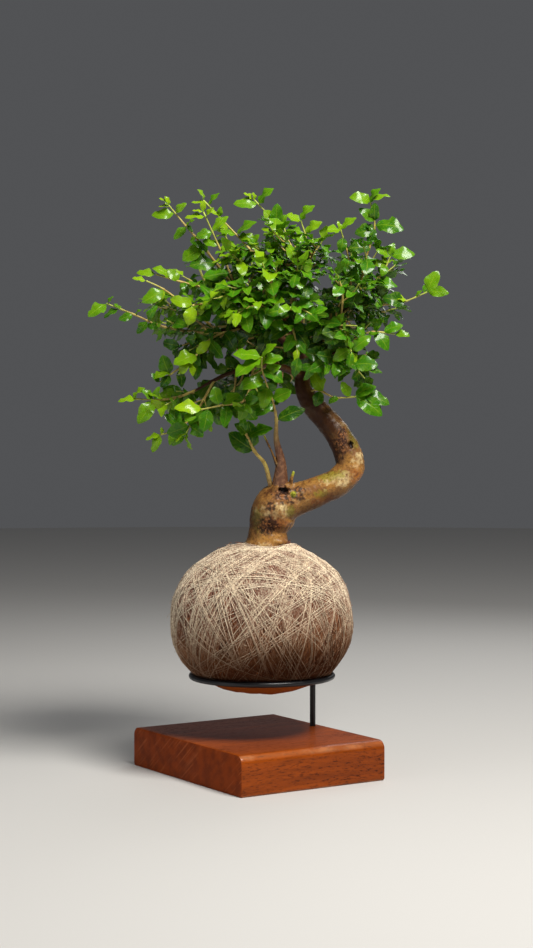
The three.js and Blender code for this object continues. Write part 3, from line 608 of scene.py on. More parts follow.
def interface(tree, inputs, outputs):
    """Names a tree's sockets: (name, kind, default) for inputs and (name, kind) for outputs."""
    for name, kind, default in inputs:
        made = tree.interface.new_socket(name, in_out="INPUT", socket_type="NodeSocket" + kind)
        if default is not None:
            made.default_value = default
    for name, kind in outputs:
        tree.interface.new_socket(name, in_out="OUTPUT", socket_type="NodeSocket" + kind)
    return tree.nodes.new("NodeGroupInput").outputs, tree.nodes.new("NodeGroupOutput").inputs


def geometry_tree(name, inputs):
    tree = bpy.data.node_groups.new(name, "GeometryNodeTree")
    entry, out = interface(tree, [("Geometry", "Geometry", None), *inputs], [("Geometry", "Geometry")])
    return tree, entry, out


def realized(tree, start):
    return node(tree, "GeometryNodeRealizeInstances", {"Geometry": start}).outputs[0]


def end_tree(tree, entry, out, start):
    """Ends a tree in real geometry with its material."""
    made = node(tree, "GeometryNodeSetMaterial", {"Geometry": realized(tree, start),
                                                  "Material": entry["Material"]})
    tree.links.new(made.outputs[0], out["Geometry"])


# ---------- shader groups that several materials share ----------


def mottle_group():
    """A soft-edged mask of patches: Noise between two levels."""
    tree = bpy.data.node_groups.get("Mottle")
    if tree:
        return tree
    tree = bpy.data.node_groups.new("Mottle", "ShaderNodeTree")
    entry, out = interface(
        tree,
        [("Vector", "Vector", None), ("Scale", "Float", 40.0), ("Detail", "Float", 4.0),
         ("Low", "Float", 0.45), ("High", "Float", 0.6)],
        [("Mask", "Float")])
    spots = cloud(tree, entry["Vector"], entry["Scale"], entry["Detail"], Roughness=0.6)
    mask = ramp(tree, spots, entry["Low"], entry["High"], interpolation_type="SMOOTHSTEP")
    tree.links.new(mask, out["Mask"])
    return tree


def grain_group():
    """Long streaks, short fine pores and broad figure along X."""
    tree = bpy.data.node_groups.new("Grain", "ShaderNodeTree")
    entry, out = interface(
        tree,
        [("Vector", "Vector", None), ("Length", "Float", 0.07), ("Fineness", "Float", 1000.0)],
        [("Streaks", "Float"), ("Pores", "Float"), ("Figure", "Float")])
    lengthwise = vectors(tree, "MULTIPLY", entry["Vector"], xyz(tree, entry["Length"], 1.0, 1.0))
    bend = node(tree, "ShaderNodeTexNoise", {"Vector": entry["Vector"], "Scale": 16.0, "Detail": 2.0})
    shift = vectors(tree, "MULTIPLY", bend.outputs["Color"], (0.0, 0.006, 0.006))
    wavy = vectors(tree, "ADD", lengthwise, shift)
    for name, scale, low, high in (("Streaks", 260.0, 0.4, 0.72), ("Figure", 42.0, 0.38, 0.66)):
        lines = cloud(tree, wavy, scale, 5.0, Roughness=0.62)
        tree.links.new(ramp(tree, lines, low, high), out[name])
    short = vectors(tree, "MULTIPLY", entry["Vector"], (0.2, 1.0, 1.0))
    pores = cloud(tree, vectors(tree, "ADD", short, shift), entry["Fineness"], 3.0, Roughness=0.7)
    tree.links.new(ramp(tree, pores, 0.53, 0.64), out["Pores"])
    return tree


# ---------- materials ----------


def new_material(name, roughness=0.6, **sockets):
    """A material with one Principled shader. Sockets set here are the same all over it."""
    made = bpy.data.materials.new(name)
    made.use_nodes = True
    tree = made.node_tree
    shader = tree.nodes["Principled BSDF"]
    shader.inputs["Roughness"].default_value = roughness
    for key, value in sockets.items():
        shader.inputs[key.replace("_", " ")].default_value = value
    return made, tree, shader


def blend_colours(tree, share, first, second):
    made = node(tree, "ShaderNodeMix", {0: share}, data_type="RGBA")
    for entry, value in ((made.inputs[6], first), (made.inputs[7], second)):
        if isinstance(value, bpy.types.NodeSocket):
            tree.links.new(value, entry)
        else:
            entry.default_value = (*value[:3], 1)
    return made.outputs[2]


def rough_normal(tree, shader, height, strength, distance):
    made = node(tree, "ShaderNodeBump", {"Height": height, "Strength": strength, "Distance": distance})
    tree.links.new(made.outputs[0], shader.inputs["Normal"])


def object_place(tree):
    return node(tree, "ShaderNodeTexCoord").outputs["Object"]


def mottle(tree, vector, scale, low=0.45, high=0.6, detail=4.0):
    made = node(tree, "ShaderNodeGroup", node_tree=mottle_group())
    tree.links.new(vector, made.inputs["Vector"])
    for name, value in (("Scale", scale), ("Low", low), ("High", high), ("Detail", detail)):
        made.inputs[name].default_value = value
    return made.outputs["Mask"]


def attribute(tree, name, output="Fac"):
    return node(tree, "ShaderNodeAttribute", attribute_name=name).outputs[output]


def height_share(tree, place, low, high):
    """0 at one height and 1 at another, in metres."""
    return ramp(tree, height_of(tree, place), low, high, interpolation_type="SMOOTHSTEP")


FIGURE_WOOD, CLOUDY_END = (0.15, 0.026, 0.004), (0.12, 0.019, 0.004)
# the pale edge colour is a painted highlight
SAW_MARK, EDGE_HIGHLIGHT = (0.40, 0.10, 0.03), (0.80, 0.36, 0.16)
SAW_SLANT = math.radians(38)


def hardwood_material(settings):
    """Oiled wood: figure, streaks and pores on the long grain, saw marks on the dull ends, and a painted
    highlight along the rounded long edges.
    """
    made, tree, shader = new_material("oiled_hardwood", 0.4, Specular_IOR_Level=0.08,
                                      Coat_Roughness=0.17)
    coordinates = node(tree, "ShaderNodeTexCoord")
    place = coordinates.outputs["Object"]
    grain = node(tree, "ShaderNodeGroup", {"Vector": place}, node_tree=grain_group())
    bands = times(tree, grain.outputs["Figure"], 0.55)
    long_grain = blend_colours(tree, bands, settings.wood, FIGURE_WOOD)
    streaks = times(tree, grain.outputs["Streaks"], 0.5)
    long_grain = blend_colours(tree, streaks, long_grain, settings.dark_wood)
    dark = times(tree, grain.outputs["Pores"], grain.outputs["Figure"])
    dark = maths(tree, "MULTIPLY_ADD", dark, 0.7, times(tree, grain.outputs["Pores"], 0.3))
    long_grain = blend_colours(tree, dark, long_grain, settings.dark_wood)
    # the sawn ends: groups of slanting saw marks on a dull cloudy ground
    turned = node(tree, "ShaderNodeMapping", {"Vector": place, "Rotation": (SAW_SLANT, 0, 0)})
    stretched = vectors(tree, "MULTIPLY", turned.outputs[0], (1.0, 0.02, 1.0))
    saw = cloud(tree, stretched, 800.0, 4.0)
    cloudy = mottle(tree, place, 120.0, 0.4, 0.65)
    end_grain = blend_colours(tree, times(tree, cloudy, 0.6), settings.end_wood, CLOUDY_END)
    marks = times(tree, ramp(tree, saw, 0.52, 0.64), mottle(tree, place, 45.0, 0.42, 0.6, 2.0))
    end_grain = blend_colours(tree, times(tree, marks, 0.6), end_grain, SAW_MARK)
    facing = node(tree, "ShaderNodeSeparateXYZ", {0: coordinates.outputs["Normal"]}).outputs
    end = ramp(tree, maths(tree, "ABSOLUTE", facing[0]), 0.55, 0.85)
    # a painted highlight on the rounded long edges, which face partly up and partly sideways, in patches
    rounded = ramp(tree, maths(tree, "ABSOLUTE", times(tree, facing[1], facing[2])), 0.25, 0.5)
    worn = times(tree, rounded, maths(tree, "MULTIPLY_ADD", mottle(tree, place, 50.0), 0.2, 0.12))
    long_grain = blend_colours(tree, worn, long_grain, EDGE_HIGHLIGHT)
    tree.links.new(blend_colours(tree, end, long_grain, end_grain), shader.inputs["Base Color"])
    tree.links.new(maths(tree, "MULTIPLY_ADD", end, -0.14, 0.16), shader.inputs["Coat Weight"])
    rough = maths(tree, "MULTIPLY_ADD", end, 0.32, 0.30)
    tree.links.new(plus(tree, rough, times(tree, dark, 0.25)), shader.inputs["Roughness"])
    relief = node(tree, "ShaderNodeMix", {0: end, 2: maths(tree, "SUBTRACT", 0.0, dark), 3: saw})
    rough_normal(tree, shader, relief.outputs[0], 0.4, 0.0003)
    return made


def steel_material(settings):
    """Black paint with a finely pebbled surface and duller patches."""
    made, tree, shader = new_material("black_painted_steel", 0.35, Metallic=0.35)
    shader.inputs["Base Color"].default_value = (*settings.paint, 1)
    place = object_place(tree)
    worn = mottle(tree, place, 160.0, 0.4, 0.7)
    tree.links.new(maths(tree, "MULTIPLY_ADD", worn, 0.22, 0.28), shader.inputs["Roughness"])
    rough_normal(tree, shader, cloud(tree, place, 1400.0, 3.0), 0.25, 0.0002)
    return made


RUSTY_THREAD, PINK_THREAD, SPECK = (0.40, 0.11, 0.02), (0.30, 0.13, 0.09), (0.13, 0.04, 0.025)
SOAK_AND_SHADE_FROM_TO, STAIN_AND_SHADE_FROM_TO = (0.138, 0.078), (0.110, 0.072)  # heights of the stain and painted shade low on the ball, in metres
STAIN_AND_SHADE_TILT = -0.14  # the stain and painted shade reach higher on the right


def thread_material(settings):
    """Cream thread, darker with painted shade in the lower layers, specked all over, with a stain and painted
    shade low on the ball.
    """
    made, tree, shader = new_material("cream_thread", 0.8, Specular_IOR_Level=0.1)
    place = object_place(tree)
    tone = attribute(tree, "tone")
    # tone runs from the painted shade of the lower layers to clean cream
    clean = blend_colours(tree, tone, settings.shaded_thread, settings.cream)
    clean = blend_colours(tree, ramp(tree, tone, -0.05, -0.3), clean, RUSTY_THREAD)
    pink = times(tree, mottle(tree, place, 300.0, 0.5, 0.64), 0.35)
    dusted = blend_colours(tree, pink, clean, PINK_THREAD)
    specks = times(tree, mottle(tree, place, 1100.0, 0.52, 0.62), 0.7)
    dusted = blend_colours(tree, specks, dusted, SPECK)
    rightward = vectors(tree, "DOT_PRODUCT", place, (math.cos(TURN), -math.sin(TURN), 0))
    tilted = xyz(tree, 0.0, 0.0, times(tree, rightward, STAIN_AND_SHADE_TILT))
    level = vectors(tree, "ADD", place, tilted)
    patchy = maths(tree, "MULTIPLY_ADD", mottle(tree, place, 70.0), 0.12, 0.88)
    # the palest threads lie on top and take less of the stain and painted shade
    patchy = times(tree, patchy, maths(tree, "MULTIPLY_ADD", tone, -0.45, 1.25))
    # a stain with painted shade darkens the thread low on the ball
    damp_and_shade = times(tree, height_share(tree, level, *SOAK_AND_SHADE_FROM_TO), patchy)
    soaked_and_shaded = blend_colours(tree, damp_and_shade, dusted, settings.soaked_and_shaded)
    dark = times(tree, height_share(tree, level, *STAIN_AND_SHADE_FROM_TO), patchy)
    tree.links.new(blend_colours(tree, dark, soaked_and_shaded, settings.stained_and_shaded), shader.inputs["Base Color"])
    return made


MOSS_PATCH, ORANGE_FIBRE, MOSS_HOLE_SHADE = (0.17, 0.08, 0.05), (0.42, 0.16, 0.03), (0.03, 0.013, 0.009)
FOOT_WARM_REFLECTION, REFLECTION_FROM_TO = (0.30, 0.075, 0.010), (0.065, 0.1)  # the painted warm reflection of the block, and the heights in metres it fades between


def moss_material(settings):
    """Tangled dry fibre with painted shade in its holes, and a painted warm reflection of the block at the
    ball's foot.
    """
    made, tree, shader = new_material("dry_moss_fibre", 0.95, Specular_IOR_Level=0.1)
    place = object_place(tree)
    fibres = cloud(tree, place, 900.0, 4.0, Distortion=1.6)
    base = blend_colours(tree, mottle(tree, place, 260.0, 0.4, 0.62), settings.moss, MOSS_PATCH)
    orange = blend_colours(tree, mottle(tree, place, 520.0, 0.62, 0.7), base, ORANGE_FIBRE)
    # painted shade in the fibre's holes
    dark = blend_colours(tree, ramp(tree, fibres, 0.5, 0.36), orange, MOSS_HOLE_SHADE)
    # painted warm reflection of the block on the ball's foot
    low = maths(tree, "SUBTRACT", 1.0, height_share(tree, place, *REFLECTION_FROM_TO))
    tree.links.new(blend_colours(tree, low, dark, FOOT_WARM_REFLECTION), shader.inputs["Base Color"])
    rough_normal(tree, shader, fibres, 0.9, 0.0008)
    return made


SOIL, SOIL_CRUMB = (0.02, 0.011, 0.007), (0.09, 0.05, 0.03)


def soil_material():
    made, tree, shader = new_material("damp_soil", 1.0)
    place = object_place(tree)
    crumbs = mottle(tree, place, 500.0, 0.4, 0.65)
    tree.links.new(blend_colours(tree, crumbs, SOIL, SOIL_CRUMB), shader.inputs["Base Color"])
    rough_normal(tree, shader, crumbs, 0.8, 0.001)
    return made


BROWN_PATCH, RUST, SHADED_BARK = (0.17, 0.065, 0.02), (0.36, 0.10, 0.012), (0.028, 0.009, 0.006)
TORN_BARK, TORN_GAP = (0.32, 0.13, 0.045), (0.022, 0.008, 0.007)
# the near-black of the hollows is painted shade
HOLLOW_SHADE, FRESH_STUB = (0.02, 0.008, 0.006), (0.34, 0.36, 0.03)


def bark_material(settings):
    """Smooth golden bark with films, rusty patches and rough scars, with painted highlights, painted shade on
    the underside and up into the crown, and painted shade in the hollows, all held as masks.
    """
    made, tree, shader = new_material("bonsai_bark", 0.5, Specular_IOR_Level=0.15, Coat_Roughness=0.34)
    place = object_place(tree)
    ridge = attribute(tree, "ridge")
    patches = mottle(tree, place, 70.0, 0.38, 0.62)
    flecks = mottle(tree, place, 650.0, 0.48, 0.62)
    base = blend_colours(tree, times(tree, patches, 0.7), settings.bark, BROWN_PATCH)
    # pale bark: worn ridges and painted highlights
    pale = times(tree, ramp(tree, ridge, 0.6, 1.0), 0.8)
    worn = blend_colours(tree, pale, base, settings.pale_bark_and_highlight)
    film = times(tree, attribute(tree, "film"), 0.75)
    filmed = blend_colours(tree, film, worn, settings.olive)
    rust = times(tree, attribute(tree, "rust"), 0.55)
    rusted = blend_colours(tree, rust, filmed, RUST)
    grained = blend_colours(tree, times(tree, flecks, 0.42), rusted, settings.dark_bark)
    pits = times(tree, ramp(tree, ridge, 0.3, 0.08), 0.8)
    pitted = blend_colours(tree, pits, grained, settings.dark_bark)
    shade = attribute(tree, "shade")
    # painted shade darkens the bark and dulls its coat
    tree.links.new(maths(tree, "MULTIPLY_ADD", shade, -0.26, 0.26), shader.inputs["Coat Weight"])
    shaded = blend_colours(tree, times(tree, shade, 0.92), pitted, SHADED_BARK)
    torn = blend_colours(tree, mottle(tree, place, 420.0, 0.36, 0.54), TORN_BARK, TORN_GAP)
    scar = blend_colours(tree, times(tree, attribute(tree, "scar"), 0.9), shaded, torn)
    # painted shade darkens the hollows
    hollow = blend_colours(tree, attribute(tree, "hollow"), scar, HOLLOW_SHADE)
    fresh = blend_colours(tree, attribute(tree, "fresh"), hollow, FRESH_STUB)
    tree.links.new(fresh, shader.inputs["Base Color"])
    rough = maths(tree, "MULTIPLY_ADD", patches, 0.2, 0.34)
    tree.links.new(maths(tree, "MULTIPLY_ADD", attribute(tree, "scar"), 0.35, rough),
                   shader.inputs["Roughness"])
    rough_normal(tree, shader, cloud(tree, place, 1100.0, 4.0), 0.45, 0.0004)
    return made


STRAW_PATCH, GREEN_TIP, WOODY_STREAK = (0.36, 0.24, 0.05), (0.38, 0.48, 0.06), (0.24, 0.11, 0.05)


def twig_material(settings):
    """Straw-coloured twigs, green at the tip and woody at the foot."""
    made, tree, shader = new_material("twig_bark", 0.55)
    place = object_place(tree)
    young = attribute(tree, "young")
    straw = blend_colours(tree, mottle(tree, place, 300.0), settings.twig, STRAW_PATCH)
    green = blend_colours(tree, ramp(tree, young, 0.75, 1.0), straw, GREEN_TIP)
    streaky = blend_colours(tree, mottle(tree, place, 420.0), settings.woody, WOODY_STREAK)
    woody = blend_colours(tree, ramp(tree, young, 0.3, 0.05), green, streaky)
    tree.links.new(woody, shader.inputs["Base Color"])
    rough_normal(tree, shader, cloud(tree, place, 1500.0, 3.0), 0.4, 0.0003)
    return made


LEAF_PATCH, UNDERSIDE = (0.20, 0.36, 0.006), (0.13, 0.26, 0.015)
VEIN, RIB = (0.28, 0.42, 0.01), (0.34, 0.46, 0.03)
GROWN_AGE = 0.4
VEIN_RATE = 50.0  # radians of the veins' wave in one leaf length


def leaf_material(settings):
    """Glossy leaves whose colour follows how old they are and their painted shade, with a pale rib and a dull
    underside.
    """
    made, tree, shader = new_material("glossy_leaf", 0.36, Coat_Weight=0.25, Coat_Roughness=0.16,
                                      Specular_IOR_Level=0.12, Subsurface_Weight=0.1,
                                      Subsurface_Scale=0.002)
    shader.inputs["Subsurface Radius"].default_value = (0.35, 1.0, 0.1)
    age = attribute(tree, "age")
    ageing = node(tree, "ShaderNodeValToRGB", {0: age})
    stops = ageing.color_ramp.elements
    stops[0].position, stops[0].color = 0.0, (*settings.young, 1)
    stops[1].position, stops[1].color = 1.0, (*settings.old, 1)
    stops.new(GROWN_AGE).color = (*settings.grown, 1)
    place = object_place(tree)
    flat = node(tree, "ShaderNodeSeparateXYZ", {0: attribute(tree, "leaf_map", "Vector")})
    across, along = flat.outputs[0], flat.outputs[1]
    under = maths(tree, "GREATER_THAN", across, 1.0)
    aside = maths(tree, "ABSOLUTE", maths(tree, "SUBTRACT", maths(tree, "FRACT", across), 0.5))
    rib = ramp(tree, aside, 0.045, 0.012)
    slanted = maths(tree, "SUBTRACT", along, times(tree, aside, 0.55))
    veins = maths(tree, "SINE", times(tree, slanted, VEIN_RATE))
    vein = ramp(tree, veins, 0.86, 1.0)
    patches = times(tree, mottle(tree, place, 180.0), 0.16)
    mottled = blend_colours(tree, patches, ageing.outputs[0], LEAF_PATCH)
    lined = blend_colours(tree, times(tree, vein, 0.12), mottled, VEIN)
    ribbed = blend_colours(tree, times(tree, rib, 0.28), lined, RIB)
    pale = blend_colours(tree, times(tree, under, 0.35), ribbed, UNDERSIDE)
    tree.links.new(pale, shader.inputs["Base Color"])
    tree.links.new(maths(tree, "MULTIPLY_ADD", under, 0.3, 0.27), shader.inputs["Roughness"])
    sunk = times(tree, maths(tree, "MAXIMUM", vein, rib), -1.0)
    rough_normal(tree, shader, sunk, 0.35, 0.0004)
    return made


def floor_material(settings):
    made, _tree, shader = new_material("pale_floor", 0.85)
    shader.inputs["Base Color"].default_value = (*settings.floor, 1)
    return made


# ---------- block ----------


def block_mesh(settings):
    """The block along X, with its long edges rounded and its end edges eased."""
    low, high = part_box("base_block")
    arc_steps, inner, end_step = 8, 40, settings.end_ease
    facet = 0.3 * end_step
    half, top = high.y, high.z
    corners = [
        (half - settings.foot_round, settings.foot_round, settings.foot_round, -90),
        (half - settings.top_round, top - settings.top_round, settings.top_round, 0),
        (settings.top_round - half, top - settings.top_round, settings.top_round, 90),
        (settings.foot_round - half, settings.foot_round, settings.foot_round, 180),
    ]
    outline = []
    for y, z, radius, start in corners:
        for i in range(arc_steps + 1):
            angle = math.radians(start + 90 * i / arc_steps)
            outline.append((y + radius * math.cos(angle), z + radius * math.sin(angle)))
    middle = top / 2
    stations = [(low.x, end_step), (low.x + facet, facet), (low.x + end_step, 0.0)]
    stations += [(mix(low.x + end_step, high.x - end_step, i / inner), 0.0) for i in range(1, inner)]
    stations += [(high.x - end_step, 0.0), (high.x - facet, facet), (high.x, end_step)]
    points = []
    for x, inset in stations:
        for y, z in outline:
            points.append((x, y * (1 - inset / half), middle + (z - middle) * (1 - inset / middle)))
    count = len(outline)
    faces = []
    for ring in range(len(stations) - 1):
        a, b = ring * count, (ring + 1) * count
        faces += [(a + i, a + (i + 1) % count, b + (i + 1) % count, b + i) for i in range(count)]
    faces += [tuple(range(count))[::-1], tuple(range(len(points) - count, len(points)))]
    return new_mesh("hardwood_block", points, faces)


def outward(mesh):
    """Turns a closed mesh's faces outwards."""
    work = bmesh.new()
    work.from_mesh(mesh)
    bmesh.ops.recalc_face_normals(work, faces=work.faces)
    work.to_mesh(mesh)
    work.free()


def post_place():
    """Where the rod stands, in the plant's frame."""
    return (BALL_AXIS[0] + POST_RADIUS * math.cos(POST_ANGLE),
            BALL_AXIS[1] + POST_RADIUS * math.sin(POST_ANGLE))


class KOKEDAMA_OT_block(bpy.types.Operator):
    """Makes the hardwood block with the rod's hole"""

    bl_idname = "kokedama.block"
    bl_label = "Hardwood block"

    def execute(self, context):
        settings = context.scene.kokedama_block
        mesh = block_mesh(settings)
        outward(mesh)
        piece = new_object("hardwood_block", mesh)
        x, y = post_place()
        # the hole is a little deeper than the rod, and its cutter stands proud of the block
        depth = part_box("stand_rod")[0].z / MM - 0.3
        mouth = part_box("base_block")[1].z / MM + 5
        hole = Path([(x, y, depth), (x, y, (depth + mouth) / 2), (x, y, mouth)])
        points, faces = tube(hole, lambda share: settings.bore / MM, 24, 2)
        drill_mesh = new_mesh("drill", to_row(points), faces)
        outward(drill_mesh)
        drill = new_object("drill", drill_mesh)
        cut = piece.modifiers.new("bore", "BOOLEAN")
        cut.object, cut.operation, cut.solver = drill, "DIFFERENCE", "EXACT"
        bpy.context.view_layer.update()
        mesh = evaluated_mesh(piece)
        piece.modifiers.clear()
        piece.data = mesh
        bpy.data.objects.remove(drill)
        smooth(mesh)
        mesh.set_sharp_from_angle(angle=math.radians(35))
        mesh.materials.clear()
        mesh.materials.append(hardwood_material(settings))
        finished(piece, "hardwood", "base_block")
        return {"FINISHED"}


# ---------- stand ----------


def joined(name, parts):
    """One mesh from several lists of points and faces."""
    points, faces = [], []
    for more_points, more_faces in parts:
        first = len(points)
        points += [tuple(p) for p in more_points]
        faces += [tuple(first + i for i in face) for face in more_faces]
    mesh = new_mesh(name, points, faces)
    outward(mesh)
    smooth(mesh)
    return mesh


def ring_shape(settings):
    """A round rod bent to a closed ring."""
    around, section = 144, 20
    points, faces = [], []
    for i in range(around):
        angle = 2 * math.pi * i / around
        for j in range(section):
            side = 2 * math.pi * j / section
            radius = RING_RADIUS + settings.ring_rod / MM * math.cos(side)
            points.append((BALL_AXIS[0] + radius * math.cos(angle),
                           BALL_AXIS[1] + radius * math.sin(angle),
                           RING_HEIGHT + settings.ring_rod / MM * math.sin(side)))
            nearby, following = (i + 1) % around, (j + 1) % section
            faces.append((i * section + j, nearby * section + j, nearby * section + following,
                          i * section + following))
    return to_row(points), faces


def rod_shape(settings):
    """The upright rod, from the foot of its hole up into the ring, with an eased foot."""
    x, y = post_place()
    foot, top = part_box("stand_rod")[0].z / MM, RING_HEIGHT
    outline = [(0, foot), (settings.rod / MM - 0.3, foot), (settings.rod / MM, foot + 0.3),
               *((settings.rod / MM, mix(foot, top, i / 12)) for i in range(1, 12)),
               (settings.rod / MM, top - 0.5), (settings.rod / MM - 0.5, top), (0, top)]
    points, faces = lathe(outline, 28, (x, y))
    return to_row(points), faces


def weld_shape(settings):
    """A small uneven bead where the rod meets the ring."""
    x, y = post_place()
    rings, sides = 10, 24
    middle, half_height = RING_HEIGHT - 2.0, 1.3
    points, faces = lathe([(settings.weld / MM * math.sin(math.pi * i / rings),
                            middle - half_height * math.cos(math.pi * i / rings))
                           for i in range(rings + 1)], sides, (x, y))
    bumpy = []
    for p in points:
        lift = 1 + 0.16 * noise.noise(Vector(p) * 0.9)
        bumpy.append((x + (p[0] - x) * lift, y + (p[1] - y) * lift, p[2]))
    return to_row(bumpy), faces


class KOKEDAMA_OT_stand(bpy.types.Operator):
    """Makes the black steel rod, the ring and the weld between them"""

    bl_idname = "kokedama.stand"
    bl_label = "Rod and ring"

    def execute(self, context):
        settings = context.scene.kokedama_stand
        steel = steel_material(settings)
        rod = new_object("upright_rod", joined("upright_rod", [rod_shape(settings),
                                                               weld_shape(settings)]))
        ring = new_object("steel_ring", joined("steel_ring", [ring_shape(settings)]))
        for piece, cad_node in ((rod, "stand_rod"), (ring, "support_ring")):
            piece.data.materials.append(steel)
            finished(piece, "black_steel", cad_node)
        return {"FINISHED"}


# ---------- ball ----------


def ball_outline(inset, steps=56):
    """The ball's outline as a smooth line moved inwards, closed over the mouth on its axis."""
    line = Path([(r, 0, z) for r, z in BALL_OUTLINE])
    outline = []
    for i in range(steps + 1):
        spot = line.point(i / steps)
        radius, rise = max(spot.x, 0.0), spot.z - BALL_MIDDLE
        share = 1 - inset / max(math.hypot(radius, rise), 1e-6)
        outline.append((radius * share, BALL_MIDDLE + rise * share))
    outline[0] = (0, outline[0][1])
    return [*outline, (0, outline[-1][1] + 0.2)]


def ball_mesh(name, inset, lumps):
    """The ball as a closed turned shape with lumps, in the row frame."""
    points, faces = lathe(ball_outline(inset), 128, BALL_AXIS)
    middle = Vector((*BALL_AXIS, BALL_MIDDLE))
    moved = []
    for p in points:
        out = (Vector(p) - middle).normalized()
        lift = lumps * (noise.noise(Vector(p) * 0.045) + 0.5 * noise.noise(Vector(p) * 0.13))
        lift += 0.18 * noise.noise(Vector(p) * 0.9)
        lift += MOUND_RISE * math.exp(-((Vector(p) - Vector(MOUND)).length / MOUND_BREADTH) ** 2)
        moved.append(Vector(p) + out * lift)
    mesh = new_mesh(name, to_row(moved), faces)
    smooth(mesh)
    return mesh


WINDING_FOOT, SUNK = (0.066, 0.072), -0.003  # heights under the ring, and how far the thread sinks
MOUTH_FROM_TO, HAIRLESS_FOOT = (0.158, 0.166), (0.07, 0.078)  # heights for the loose fibres


